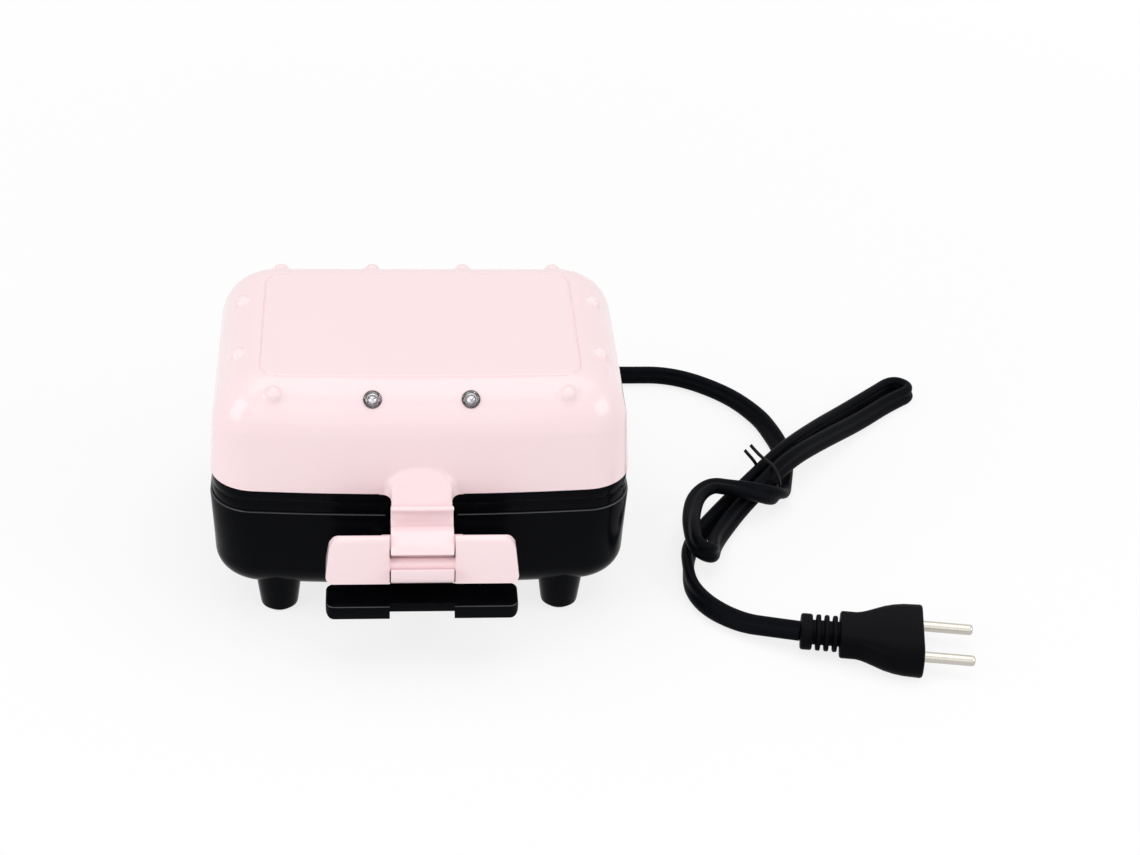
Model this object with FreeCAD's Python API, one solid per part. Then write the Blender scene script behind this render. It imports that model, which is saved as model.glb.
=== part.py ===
"""Two-plate waffle maker with a flip latch, a flat mains cord in a tied hank and a two-pin plug.

Millimetres, +X right, +Y to the rear, +Z up. Shapes are drawn about the middle of the case;
save() then moves each one so that the origin lies on the table under the middle of the appliance.
"""
import math
import os

import FreeCAD, Part
from FreeCAD import Vector

# Case: plan size at the rim of the lid, and the levels of its parts.
CASE_HALF_WIDTH = 76.0
CASE_FRONT = 58.0
CASE_BACK = 56.0
CASE_CORNER = 17.0
FRONT_BOW = 2.5
WALL = 2.6
BOTTOM_Z = 11.0
BASE_TOP_Z = 48.5
PARTING_Z = 53.0
PARTING_GAP = 0.15
LID_RIM_Z = 57.5
LID_TOP_Z = 96.4
SHOULDER_Z = 79.6
LID_DRAFT = 2.9
SHOULDER_DEPTH = 15.2
PANEL_RISE = 0.45
PANEL_CORNER = 8.0
PANEL_BOW = 0.8
PANEL_FORWARD = 1.0
BASE_DRAFT = 1.7
BASE_ROUND = 13.0
RIM_STEP = 1.0
# The sides stand out further than the front and rear draw in: at the rim of the lid, at the foot of its
# shoulder, on the rings, and at the top and bottom of the base.
RIM_SPREAD = 0.4
LID_SPREAD = 1.9
RING_SPREAD = 1.0
BASE_SPREAD = (1.2, 1.5)

# Studs and lamps round the shoulder of the lid.
STUD_PITCH = 35.0
STUD_RADIUS = 3.2
STUD_RISE = 2.4
STUD_SPOT = math.radians(58.0)
SIDE_STUD_SPOT = math.radians(61.0)
LAMP_SPOT = math.radians(53.0)
SIDE_STUD_Y = 19.5
LENS_RADIUS = 3.3

# Legs.
LEG_X = 52.5
LEG_FRONT_Y = -43.7
LEG_BACK_Y = 40.5
LEG_TOP_RADIUS = 8.8
LEG_END_RADIUS = 6.8
PAD_RADIUS = 5.2
PAD_HEIGHT = 2.2
PAD_SHOWS = 0.8

# Hinge.
HINGE_Y = 61.0
HINGE_Z = PARTING_Z
KNUCKLE_RADIUS = 4.0
PIN_RADIUS = 2.0
PIN_FIT = 0.02
RUNNING_FIT = 0.06

# Grips and latch. The latch turns about PIVOT and lies back on the neck by LEAN.
PIVOT_Y = -80.0
PIVOT_Z = 42.4
LEAN = math.radians(34.0)
BAR_RADIUS = 2.5
HUB_RADIUS = 6.6
HUB_FIT = 0.08
ARM_BACK = -4.6
TOE_INSIDE = 19.1
TOE_OUTSIDE = 20.9
CLIP_HALF_WIDTH = 11.2
NECK_HALF_WIDTH = 11.5
NECK_THICKNESS = 4.6
NECK_TOP_Z = 69.0
WING_HALF_SPAN = 34.5
WING_INNER_X = 11.7
WING_TAPER = 1.7
WING_CORNERS = (2.2, 3.8)
ARM_LIP = (3.0, 5.85)
JAW_LIP = -1.7
GRIP_FRONT_Y = -85.0
GRIP_BACK_Y = -70.0
GRIP_TOP_Z = 27.4
GRIP_THICKNESS = 5.2
GRIP_CORNER = 3.2
SLOT_ROUND = 2.5
LIP_SETBACK = 2.0
LIP_THICKNESS = 3.5
GRIP_NECK_HALF = 11.3

# Waffle plates.
PLATE_Y = -1.0
PAN_HALF = (59.0, 42.0)
PAN_WALL = 3.0
PAN_DEPTH = 12.2
PAN_FLOOR = 3.0
FLANGE_HALF = (64.5, 47.0)
FLANGE_THICKNESS = 2.2
FLANGE_DROP = 0.4
PYRAMIDS = (7, 5)
PYRAMID_PITCH = 15.4
PYRAMID_FOOT = 11.0
PYRAMID_HEAD = 7.0
PYRAMID_HEIGHT = 4.5

# Heating elements behind the plates.
HEATER_HALF = (46.0, 28.0)
HEATER_BEND = 12.0
HEATER_RADIUS = 3.3
HEATER_GAP = 14.0
CLAMP_THICKNESS = 1.2
CLAMP_BOSS_X = 20.0
SHEET = 1.0
REFLECTOR_HALF = (56.0, 37.0)
BASE_REFLECTOR_Z = 28.0
LID_REFLECTOR_Z = 76.0

# Fasteners.
SHANK_RADIUS = 1.6
HEAD_RADIUS = 3.0
SCREW_FIT = 0.03
BASE_SCREW_X = 64.5
BASE_SCREW_Y = (-43.0, 41.0)
LID_SCREW_X = 66.0
LID_SCREW_Y = (-46.5, 44.5)
PLATE_SCREW_X = 62.0
PLATE_SCREW_Y = (-25.0, 23.0)

# Mains cord: two cores side by side, 8.0 wide and 4.4 thick.
CORD_WIDTH = 8.0
CORD_THICKNESS = 4.4
ARC_SHARE = 0.45
GUIDE_OFFSET = 3.0
CORD_EXIT_X = 40.0
CORD_EXIT_Z = 30.0
# Route: x, y, z, and how far the wide side is rolled up from the table, in degrees.
LEAD_ROUTE = [
    (CORD_EXIT_X, 46.2, CORD_EXIT_Z, 90),
    (CORD_EXIT_X, 68, 30, 90),
    (42, 89, 25, 90),
    (52.5, 106, 13, 90),
    (70, 113.2, 5.4, 90),
    (90.5, 114.6, 4.3, 90),
    (112.4, 114.8, 4.3, 90),
    (133.6, 99.6, 4.3, 85),
    (145.6, 81.2, 4.1, 65),
    (148.18, 72.92, 3.74, 47),
]
HANK_ROUTE = [
    (148.18, 72.92, 3.74, 47),
    (149.9, 67.4, 3.5, 35),
    (152.2, 57, 2.7, 8),
    (152.0, 46, 2.5, 4),
    (149.4, 33.2, 2.5, 2),
    (147.1, 22.0, 2.9, 14),
    (142.1, 12.7, 8.8, 100),
    (131.4, 9.4, 13.8, 160),
    (123.4, 12.0, 13.6, 180),
    (117.0, 15.0, 12.8, 182),
    (110.2, 7.6, 12.4, 195),
    (106.8, -5, 12.6, 215),
    (105.6, -17.5, 13.2, 240),
    (106.0, -28.3, 12.8, 262),
    (113.9, -29.2, 9.6, 270),
    (116.2, -17, 6.0, 270),
    (123.2, -3, 4.5, 270),
    (131.9, 11.8, 4.7, 270),
    (142.7, 23.6, 10.3, 270),
    (153.8, 36.4, 12.0, 270),
    (169.4, 52.6, 9.2, 270),
    (189.1, 73.7, 4.8, 270),
    (205.2, 90, 4.3, 270),
    (215.4, 99.8, 4.3, 270),
    (208.8, 106.8, 4.3, 270),
    (198.0, 97.0, 4.3, 270),
    (181.8, 80.4, 5.4, 270),
    (166.4, 62, 9.0, 270),
    (151.2, 43.2, 11.5, 270),
    (138.6, 29.4, 8.6, 270),
    (124.9, 14.2, 4.8, 270),
    (113.0, -3.3, 4.4, 270),
    (104.8, -17.5, 4.4, 270),
    (103.47, -27.65, 4.4, 270),
]
HANK_BREAKS = (7, 10, 12, 14, 19, 22, 24, 28)
TAIL_ROUTE = [
    (103.47, -27.65, 4.4, 270),
    (102.9, -32, 4.4, 270),
    (103.2, -44, 4.2, 256),
    (108.8, -55.6, 3.9, 228),
    (119.5, -65.5, 4.2, 209),
    (130, -71, 6.2, 205),
    (140, -74.4, 6.9, 204),
]

# Tie round the two strands of the hank, in a plane across them, with its ends left standing.
# Route: across to the left, up, and along the strands.
TIE_WIRE = 0.6
TIE_AT = (144.2, 29.0, 9.65)
TIE_STRAND = (17, 18)
TIE_ROUTE = [
    (10.5, 9.6, 1.2),
    (6.2, 5.4, 0.8),
    (-2.2, 6.9, 0.2),
    (-5.9, 5.2, 0),
    (-5.9, -0.8, 0),
    (-3.8, -4.0, 0),
    (3.6, -5.8, 0),
    (7.8, -4.8, 0),
    (7.6, 1.4, -0.6),
    (8.9, 5.0, -1.3),
    (11.6, 8.4, -1.5),
]

# Plug: flat body with two round pins.
PLUG_TURN = math.radians(-9.0)
RELIEF_LENGTH = 13.7
RELIEF_RIBS = 4
RIB_SIZE = (16.0, 9.0)
RIB_CORE = (11.0, 6.4)
NECK_SIZE = (20.0, 10.0)
FACE_SIZE = (35.3, 13.7)
PLUG_LENGTH = 45.0
PIN_SPACING = 19.0
PLUG_PIN_RADIUS = 2.0
PLUG_PIN_ROOT = 1.6
PLUG_PIN_LENGTH = 19.0

# The origin is under the middle of the appliance, from the hub of the latch to the hinge.
CASE_SHIFT = -(PIVOT_Y - HUB_RADIUS + HINGE_Y + KNUCKLE_RADIUS) / 2


def save(node, shape):
    """Move a finished piece into the part's frame, test it and write its file."""
    piece = shape.copy()
    piece.translate(Vector(0, CASE_SHIFT, 0))
    bad = [s for s in piece.Solids if not s.isValid()]
    print(node, "solids", len(piece.Solids), "volume", round(piece.Volume), "bad", len(bad))
    piece.exportStep("parts/" + node + ".step")


def fuse(shapes):
    """One solid from several that overlap."""
    return shapes[0].multiFuse(shapes[1:]).removeSplitter()


def box(x, y, z):
    """Block between two x, two y and two z values."""
    return Part.makeBox(x[1] - x[0], y[1] - y[0], z[1] - z[0], Vector(x[0], y[0], z[0]))


def rod(start, end, radius, end_radius=None):
    """Round bar, or a taper where a second radius is given."""
    start = Vector(*start)
    along = Vector(*end) - start
    if end_radius is None:
        return Part.makeCylinder(radius, along.Length, start, along)
    return Part.makeCone(radius, end_radius, along.Length, start, along)


def prism(points, x):
    """Solid with a side outline of (y, z) points, between two x values."""
    corners = [Vector(x[0], y, z) for y, z in points]
    face = Part.Face(Part.makePolygon(corners + corners[:1]))
    return face.extrude(Vector(x[1] - x[0], 0, 0))


def outline(z, inset, corner, bow=FRONT_BOW, spread=0.0):
    """Plan outline of the case: rounded corners and a front edge bowed out, drawn in by inset.

    The spread moves only the two sides, outward.
    """
    half = CASE_HALF_WIDTH - inset + spread
    front = -CASE_FRONT + inset
    back = CASE_BACK - inset
    tilt = 0.0
    for _ in range(4):
        chord = half - corner * (1 - math.sin(tilt))
        tilt = 2 * math.atan(bow / chord)
    side_y = front + bow + corner * math.cos(tilt)
    end = Vector(-chord, front + bow, z)
    mid_angle = math.radians(45) + tilt / 2
    mid = Vector(-half + corner - corner * math.sin(mid_angle), side_y - corner * math.cos(mid_angle), z)
    dent = corner * (1 - math.sqrt(0.5))

    def mirror(p):
        return Vector(-p.x, p.y, p.z)

    side = Vector(-half, side_y, z)
    rear = Vector(-half, back - corner, z)
    rear_mid = Vector(-half + dent, back - dent, z)
    rear_end = Vector(-half + corner, back, z)
    edges = [
        Part.LineSegment(rear, side).toShape(),
        Part.Arc(side, mid, end).toShape(),
        Part.Arc(end, Vector(0, front, z), mirror(end)).toShape(),
        Part.Arc(mirror(end), mirror(mid), mirror(side)).toShape(),
        Part.LineSegment(mirror(side), mirror(rear)).toShape(),
        Part.Arc(mirror(rear), mirror(rear_mid), mirror(rear_end)).toShape(),
        Part.LineSegment(mirror(rear_end), rear_end).toShape(),
        Part.Arc(rear_end, rear_mid, rear).toShape(),
    ]
    return Part.Wire(edges)


def case_loft(levels, wall=0.0):
    """Solid through plan outlines, each given as (z, inset, spread), all drawn in by a wall thickness."""
    wires = []
    for z, inset, spread in levels:
        corner = max(CASE_CORNER - 0.55 * inset - 0.8 * wall, 4.0)
        wires.append(outline(z, inset + wall, corner, FRONT_BOW, spread))
    return Part.makeLoft(wires, True, True)


def plate_block(half, corner, z):
    """Upright block with rounded plan corners, about the middle of the waffle plates."""
    block = box((-half[0], half[0]), (PLATE_Y - half[1], PLATE_Y + half[1]), z)
    upright = [e for e in block.Edges if abs(e.tangentAt(e.FirstParameter).z) > 0.9]
    return block.makeFillet(corner, upright)


def flip(shape, z):
    """The shape mirrored top to bottom about a level."""
    return shape.mirror(Vector(0, 0, z), Vector(0, 0, 1))


def shoulder(spot, spread=0.0):
    """Inset, height and outward lean of the lid's shoulder at an angle of its quarter ellipse.

    The spread is that of the foot of the shoulder, LID_SPREAD at the sides.
    """
    lean = LID_DRAFT / (SHOULDER_Z - LID_RIM_Z)
    start = math.radians(9.8)
    across = (SHOULDER_DEPTH + spread) / math.cos(start)
    up = (LID_TOP_Z - SHOULDER_Z) / (1 - math.sin(start))
    inset = LID_DRAFT - spread + across * (math.cos(start) - math.cos(spot))
    z = SHOULDER_Z + up * (math.sin(spot) - math.sin(start))
    normal = math.atan2(math.cos(spot) / across, math.sin(spot) / up)
    return inset, z, max(normal, lean)


def rim_front(x):
    """How far the bowed front of the case reaches at a place across its width."""
    return CASE_FRONT - FRONT_BOW * (x / (CASE_HALF_WIDTH - CASE_CORNER)) ** 2


def route_points(rows):
    """Corner points of a cord route, with a guide point beside each that shows its wide side."""
    points = [Vector(*row[:3]) for row in rows]
    guides = []
    for i, row in enumerate(rows):
        before = points[max(i - 1, 0)]
        after = points[min(i + 1, len(points) - 1)]
        along = after - before
        along.normalize()
        level = Vector(0, 0, 1).cross(along)
        level.normalize()
        roll = math.radians(row[3])
        wide = level * math.cos(roll) + along.cross(level) * math.sin(roll)
        guides.append(points[i] + wide * GUIDE_OFFSET)
    return points, guides


def arc_edges(points):
    """Edges of a route, straight runs and tangent arcs in turn, with the radius of each arc."""
    edges = []
    radii = []
    start = points[0]
    for before, corner, after in zip(points, points[1:], points[2:]):
        back = before - corner
        ahead = after - corner
        cut = ARC_SHARE * min(back.Length, ahead.Length)
        back.normalize()
        ahead.normalize()
        half = back.getAngle(ahead) / 2
        radius = cut * math.tan(half)
        inward = back + ahead
        inward.normalize()
        first = corner + back * cut
        last = corner + ahead * cut
        middle = corner + inward * (cut / math.cos(half) - radius)
        edges.append(Part.LineSegment(start, first).toShape())
        edges.append(Part.Arc(first, middle, last).toShape())
        radii.append(radius)
        start = last
    edges.append(Part.LineSegment(start, points[-1]).toShape())
    return edges, radii


def tube(points, radius):
    """Round wire or bar along a route of corner points."""
    points = [Vector(*p) for p in points]
    path = Part.Wire(arc_edges(points)[0])
    along = points[1] - points[0]
    ring = Part.Wire(Part.makeCircle(radius, points[0], along))
    return path.makePipeShell([ring], True, False)


def flat_section(at, along, wide, size):
    """Outline with round ends, across a direction, with its wide side along another."""
    along = Vector(along)
    along.normalize()
    wide = wide - along * wide.dot(along)
    wide.normalize()
    thin = along.cross(wide) * (size[1] / 2)
    reach = wide * ((size[0] - size[1]) / 2)
    tip = wide * (size[0] / 2)
    corners = [at + reach + thin, at - reach + thin, at - reach - thin, at + reach - thin]
    edges = [
        Part.LineSegment(corners[0], corners[1]).toShape(),
        Part.Arc(corners[1], at - tip, corners[2]).toShape(),
        Part.LineSegment(corners[2], corners[3]).toShape(),
        Part.Arc(corners[3], at + tip, corners[0]).toShape(),
    ]
    return Part.Wire(edges)


def flat_cord(name, rows, breaks=(), room=0.0):
    """Flat cord along a route, turned as the route says; room makes it larger, for a hole round it.

    It is swept in lengths that do not fold back, cut in the middle of the runs given as breaks, and
    the lengths are sewn into one unbroken solid.
    """
    points, guides = route_points(rows)
    edges, radii = arc_edges(points)
    guide_edges = arc_edges(guides)[0]
    size = (CORD_WIDTH + room, CORD_THICKNESS + room)
    section = flat_section(points[0], points[1] - points[0], guides[0] - points[0], size)
    faces = [Part.Face(section)]
    bounds = [0] + list(breaks) + [len(points) - 2]
    for first, last in zip(bounds, bounds[1:]):
        length = edges[2 * first:2 * last + 1]
        if first > 0:
            ends = [v.Point for v in length[0].Vertexes]
            length[0] = Part.LineSegment((ends[0] + ends[1]) * 0.5, ends[1]).toShape()
        if last < len(points) - 2:
            ends = [v.Point for v in length[-1].Vertexes]
            length[-1] = Part.LineSegment(ends[0], (ends[0] + ends[1]) * 0.5).toShape()
        sweep = Part.BRepOffsetAPI.MakePipeShell(Part.Wire(length))
        beside = guide_edges[max(2 * first - 1, 0):2 * last + 2]
        sweep.setAuxiliarySpine(Part.Wire(beside), False, 0)
        sweep.add(section, False, False)
        sweep.build()
        faces += sweep.shape().Faces
        section = Part.Wire(sweep.lastShape().Edges)
    faces.append(Part.Face(section))
    skin = Part.makeShell(faces)
    skin.sewShape()
    cord = Part.makeSolid(skin)
    path = Part.Wire(edges)
    area = (size[0] - size[1]) * size[1] + math.pi * size[1] ** 2 / 4
    print(name, "length", round(path.Length, 1), "radii", [round(r, 1) for r in radii])
    print(name, "volume", round(cord.Volume), "section x length", round(area * path.Length))
    return cord, path, Part.Wire(guide_edges)


def least_gap(path, guide):
    """Least gap of a cord to itself, measured on points of its two cores and its middle."""
    count = int(path.Length / 1.5)
    spots = path.discretize(Number=count)
    marks = guide.discretize(Number=4 * count)
    step = path.Length / (count - 1)
    rows = []
    for spot in spots:
        near = min(marks, key=lambda m: m.distanceToPoint(spot))
        wide = near - spot
        wide.normalize()
        reach = wide * ((CORD_WIDTH - CORD_THICKNESS) / 2)
        rows.append((spot - reach, spot, spot + reach))
    least = (1000.0, 0, 0)
    skip = int(22.0 / step)
    for i in range(count):
        for j in range(i + skip, count):
            if spots[i].distanceToPoint(spots[j]) < 16:
                gap = min(p.distanceToPoint(q) for p in rows[i] for q in rows[j])
                least = min(least, (gap - CORD_THICKNESS, i, j))
    print("least gap of hank to itself", round(least[0], 2), "at", spots[least[1]], spots[least[2]])
    low = min(p.z for row in rows for p in row) - CORD_THICKNESS / 2
    print("lowest of hank", round(low, 2))


os.makedirs("parts", exist_ok=True)

# Lid shell: a pillow with a straight wall, a rounded shoulder and a flat top.
shoulder_spots = [math.radians(a) for a in (9.8, 19, 28, 37, 46, 55, 64, 73, 82, 90)]
lid_levels = [(LID_RIM_Z, 0.0, RIM_SPREAD)]
for spot in shoulder_spots:
    inset, z, lean = shoulder(spot)
    lid_levels.append((z, inset, inset - shoulder(spot, LID_SPREAD)[0]))
lid_outer = case_loft(lid_levels)
lid_hollow = case_loft([(z - WALL if z > LID_RIM_Z else z, i, w) for z, i, w in lid_levels], WALL)

stud_inset, stud_z, stud_lean = shoulder(STUD_SPOT)
lamp_inset, lamp_z, lamp_lean = shoulder(LAMP_SPOT)
stud_ball = (STUD_RADIUS ** 2 + STUD_RISE ** 2) / (2 * STUD_RISE)
row_x = [STUD_PITCH * k for k in (-1.5, -0.5, 0.5, 1.5)]
across = math.sin(stud_lean)
rise = math.cos(stud_lean)
stud_spots = [(Vector(x, CASE_BACK - stud_inset, stud_z), Vector(0, across, rise)) for x in row_x]
stud_spots += [(Vector(x, -rim_front(x) + stud_inset, stud_z), Vector(0, -across, rise))
               for x in (row_x[0], row_x[3])]
side_inset, side_z, side_lean = shoulder(SIDE_STUD_SPOT, LID_SPREAD)
stud_spots += [(Vector(s * (CASE_HALF_WIDTH - side_inset), y, side_z),
                Vector(s * math.sin(side_lean), 0, math.cos(side_lean)))
               for s in (-1, 1) for y in (-SIDE_STUD_Y, SIDE_STUD_Y)]
studs = [Part.makeSphere(stud_ball, spot + normal * (STUD_RISE - stud_ball)) for spot, normal in stud_spots]

panel_inset = SHOULDER_DEPTH + LID_DRAFT + 0.3
panel_line = outline(LID_TOP_Z - 0.8, panel_inset, PANEL_CORNER, PANEL_BOW)
panel = Part.Face(panel_line).extrude(Vector(0, 0, 0.8 + PANEL_RISE))
panel.translate(Vector(0, -PANEL_FORWARD, 0))

# Neck: a plate that slopes from the front wall down to the wings, with an arched top.
arm_way = Vector(0, math.sin(LEAN), math.cos(LEAN))
face_way = Vector(0, -math.cos(LEAN), math.sin(LEAN))
pivot = Vector(0, PIVOT_Y, PIVOT_Z)
neck_front = ARM_BACK - 0.3
front_line = pivot + face_way * neck_front
back_line = pivot + face_way * (neck_front - NECK_THICKNESS)
rise = (NECK_TOP_Z - front_line.z) / arm_way.z
crown = front_line + arm_way * rise
neck_root_y = -CASE_FRONT - 0.6
neck_back_top = (neck_root_y, back_line.z + (neck_root_y - back_line.y) / math.tan(LEAN))
neck = prism([
    (front_line.y, front_line.z),
    (crown.y, crown.z),
    (crown.y + 1.0, LID_RIM_Z),
    (neck_root_y, LID_RIM_Z),
    neck_back_top,
    (back_line.y, back_line.z),
], (-NECK_HALF_WIDTH, NECK_HALF_WIDTH))
arch_low = front_line - arm_way * 10 + face_way * 5
arch_side = crown - arm_way * NECK_HALF_WIDTH + face_way * 5
left = Vector(-NECK_HALF_WIDTH, 0, 0)
right = Vector(NECK_HALF_WIDTH, 0, 0)
arch_edges = [
    Part.LineSegment(arch_low + right, arch_low + left).toShape(),
    Part.LineSegment(arch_low + left, arch_side + left).toShape(),
    Part.Arc(arch_side + left, crown + face_way * 5, arch_side + right).toShape(),
    Part.LineSegment(arch_side + right, arch_low + right).toShape(),
]
arch = Part.Face(Part.Wire(arch_edges)).extrude(face_way * -30)
neck = neck.common(arch)

# Wings: two grip pads, joined behind the hub by the foot of the neck, with the pivot bar between.
wing_side = [(-84.5, 37.6), (-80.5, 54.8), (-77.6, 54.0), (-73.2, 46.5), (-71.2, 37.6)]
wing_low = wing_side[0][1]
wing_high = wing_side[1][1]
wings = []
for side in (-1, 1):
    pad = prism(wing_side, sorted((side * WING_INNER_X, side * (WING_HALF_SPAN + 1))))
    rims = [e for e in pad.Edges
            if abs(e.tangentAt(e.FirstParameter).x) > 0.99 and e.CenterOfMass.y < -76]
    pad = pad.makeFillet(1.4, rims)
    front_view = [(WING_INNER_X, wing_low), (WING_HALF_SPAN, wing_low),
                  (WING_HALF_SPAN - WING_TAPER, wing_high), (WING_INNER_X, wing_high)]
    corners = [Vector(side * x, -90, z) for x, z in front_view]
    block = Part.Face(Part.makePolygon(corners + corners[:1])).extrude(Vector(0, 25, 0))
    for corner, radius in zip(corners[1:3], WING_CORNERS):
        ends = [e for e in block.Edges if abs(e.tangentAt(e.FirstParameter).y) > 0.99
                and abs(e.CenterOfMass.x - corner.x) < 0.01 and abs(e.CenterOfMass.z - corner.z) < 0.01]
        block = block.makeFillet(radius, ends)
    wings.append(pad.common(block))
web = prism([
    (front_line.y, front_line.z),
    (front_line.y + 6.0, front_line.z + 6.0 / math.tan(LEAN)),
    (back_line.y + 5.0, back_line.z + 5.0 / math.tan(LEAN)),
    (back_line.y, back_line.z),
], (-WING_INNER_X - 3.0, WING_INNER_X + 3.0))
bar = rod((-WING_INNER_X - 1, PIVOT_Y, PIVOT_Z), (WING_INNER_X + 1, PIVOT_Y, PIVOT_Z), BAR_RADIUS)
hub_room = rod((-WING_INNER_X, PIVOT_Y, PIVOT_Z), (WING_INNER_X, PIVOT_Y, PIVOT_Z), HUB_RADIUS + 0.4)

lid_posts = [rod((x, y, LID_RIM_Z), (x, y, LID_REFLECTOR_Z), 4.0)
             for x in (-LID_SCREW_X, LID_SCREW_X) for y in LID_SCREW_Y]
shield_posts = [rod((x, y, LID_REFLECTOR_Z + SHEET), (x, y, LID_TOP_Z - 1), 4.0)
                for x in (-40, 40) for y in (-26, 24)]
lamp_normal = Vector(0, -math.sin(lamp_lean), math.cos(lamp_lean))
lamp_spots = [Vector(x, -rim_front(x) + lamp_inset, lamp_z) for x in (row_x[1], row_x[2])]
board_spots = [Vector(x, lamp_spots[0].y, lamp_z) for x in (-27.0, 27.0)]
board_posts = [rod(p - lamp_normal * 1.5, p - lamp_normal * 9.0, 2.5) for p in board_spots]

lid_case = fuse([lid_outer] + studs + [panel]).cut(lid_hollow)
lid_posts_in = [p.common(lid_outer) for p in lid_posts + shield_posts + board_posts]
front_parts = fuse([neck, web] + wings).cut(hub_room)
front_parts = fuse([front_parts, bar])
front_parts = front_parts.cut(lid_hollow)
lid_shell = fuse([lid_case] + lid_posts_in + [front_parts])
for spot in lamp_spots:
    lid_shell = lid_shell.cut(rod(spot - lamp_normal * 4, spot + lamp_normal * 4, LENS_RADIUS + 0.05))
for x in (-LID_SCREW_X, LID_SCREW_X):
    for y in LID_SCREW_Y:
        pilot = rod((x, y, LID_RIM_Z - 1), (x, y, LID_RIM_Z + 13), SHANK_RADIUS + SCREW_FIT)
        lid_shell = lid_shell.cut(pilot)
save("lid_shell", lid_shell)

# Lamps: clear lens in the shoulder, lamp behind it, board behind both lamps.
lenses = []
lamps = []
for spot in lamp_spots:
    barrel = rod(spot - lamp_normal * 3.6, spot + lamp_normal * 0.2, LENS_RADIUS)
    dome = Part.makeSphere(5.2, spot - lamp_normal * 3.6).common(
        rod(spot - lamp_normal * 0.2, spot + lamp_normal * 4, LENS_RADIUS))
    lenses.append(fuse([barrel, dome]))
    lamps.append(rod(spot - lamp_normal * 3.6, spot - lamp_normal * 9.0, 2.4))
save("indicator_lenses", Part.Compound(lenses))
save("indicator_lamps", Part.Compound(lamps))
board_end = board_spots[0] - lamp_normal * 9.0
board_up = Vector(0, lamp_normal.z, -lamp_normal.y)
corners = [board_end + Vector(-3, 0, 0) - board_up * 4.0, board_end + Vector(57, 0, 0) - board_up * 4.0,
           board_end + Vector(57, 0, 0) + board_up * 4.0, board_end + Vector(-3, 0, 0) + board_up * 4.0]
lamp_board = Part.Face(Part.makePolygon(corners + corners[:1])).extrude(lamp_normal * -1.6)
save("lamp_board", lamp_board)

# Frames: each holds a waffle plate on a ledge and carries half of the hinge.
frame_low = BASE_TOP_Z
frame_high = PARTING_Z - PARTING_GAP


def frame_ring():
    """Ring of the lower frame; the upper one is its mirror image."""
    ring_line = outline(frame_low, RIM_STEP, CASE_CORNER - RIM_STEP, FRONT_BOW, RING_SPREAD)
    ring = Part.Face(ring_line).extrude(Vector(0, 0, frame_high - frame_low))
    tongue_line = outline(frame_low - 4.0, 3.6, CASE_CORNER - 3.0, FRONT_BOW, RIM_SPREAD)
    inner_line = outline(frame_low - 4.0, 5.7, CASE_CORNER - 5.0, FRONT_BOW, RIM_SPREAD)
    tongue = Part.Face(tongue_line).extrude(Vector(0, 0, 4.0))
    tongue = tongue.cut(Part.Face(inner_line).extrude(Vector(0, 0, 4.0)))
    hole = plate_block((PAN_HALF[0] + 0.4, PAN_HALF[1] + 0.4), 12.4, (frame_low - 1, frame_high + 1))
    ledge_z = frame_high - FLANGE_DROP - FLANGE_THICKNESS
    seat = plate_block((FLANGE_HALF[0] + 0.3, FLANGE_HALF[1] + 0.3), 14.3, (ledge_z, frame_high + 1))
    ring = ring.fuse(tongue).cut(hole).cut(seat)
    for x in (-PLATE_SCREW_X, PLATE_SCREW_X):
        for y in PLATE_SCREW_Y:
            ring = ring.cut(rod((x, y, frame_low - 1), (x, y, ledge_z + 1), SHANK_RADIUS + SCREW_FIT))
    return ring


def knuckles(spans, z, fit):
    """Hinge eyes with arms to the rear edge of a frame."""
    eyes = []
    for x in spans:
        eye = rod((x[0], HINGE_Y, HINGE_Z), (x[1], HINGE_Y, HINGE_Z), KNUCKLE_RADIUS)
        arm = box(x, (CASE_BACK - RIM_STEP - 3.0, HINGE_Y), z)
        bore = rod((x[0] - 1, HINGE_Y, HINGE_Z), (x[1] + 1, HINGE_Y, HINGE_Z), PIN_RADIUS + fit)
        eyes.append(fuse([eye, arm]).cut(bore))
    return eyes


ring = frame_ring()
base_eyes = knuckles([(-34, -26), (26, 34)], (49.0, frame_high), PIN_FIT)
lid_eyes = knuckles([(-25.7, -14), (14, 25.7)], (PARTING_Z + PARTING_GAP, 57.0), RUNNING_FIT)

lid_ring = flip(ring, PARTING_Z)
lid_frame = fuse([lid_ring] + lid_eyes)
for x in (-LID_SCREW_X, LID_SCREW_X):
    for y in LID_SCREW_Y:
        lid_frame = lid_frame.cut(rod((x, y, PARTING_Z), (x, y, LID_RIM_Z + 5), SHANK_RADIUS + 0.1))
        lid_frame = lid_frame.cut(rod((x, y, PARTING_Z), (x, y, PARTING_Z + 2.4), HEAD_RADIUS + 0.2))
        lid_frame = lid_frame.cut(rod((x, y, LID_RIM_Z), (x, y, LID_RIM_Z + 5), 4.1))
save("lid_frame", lid_frame)

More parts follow.
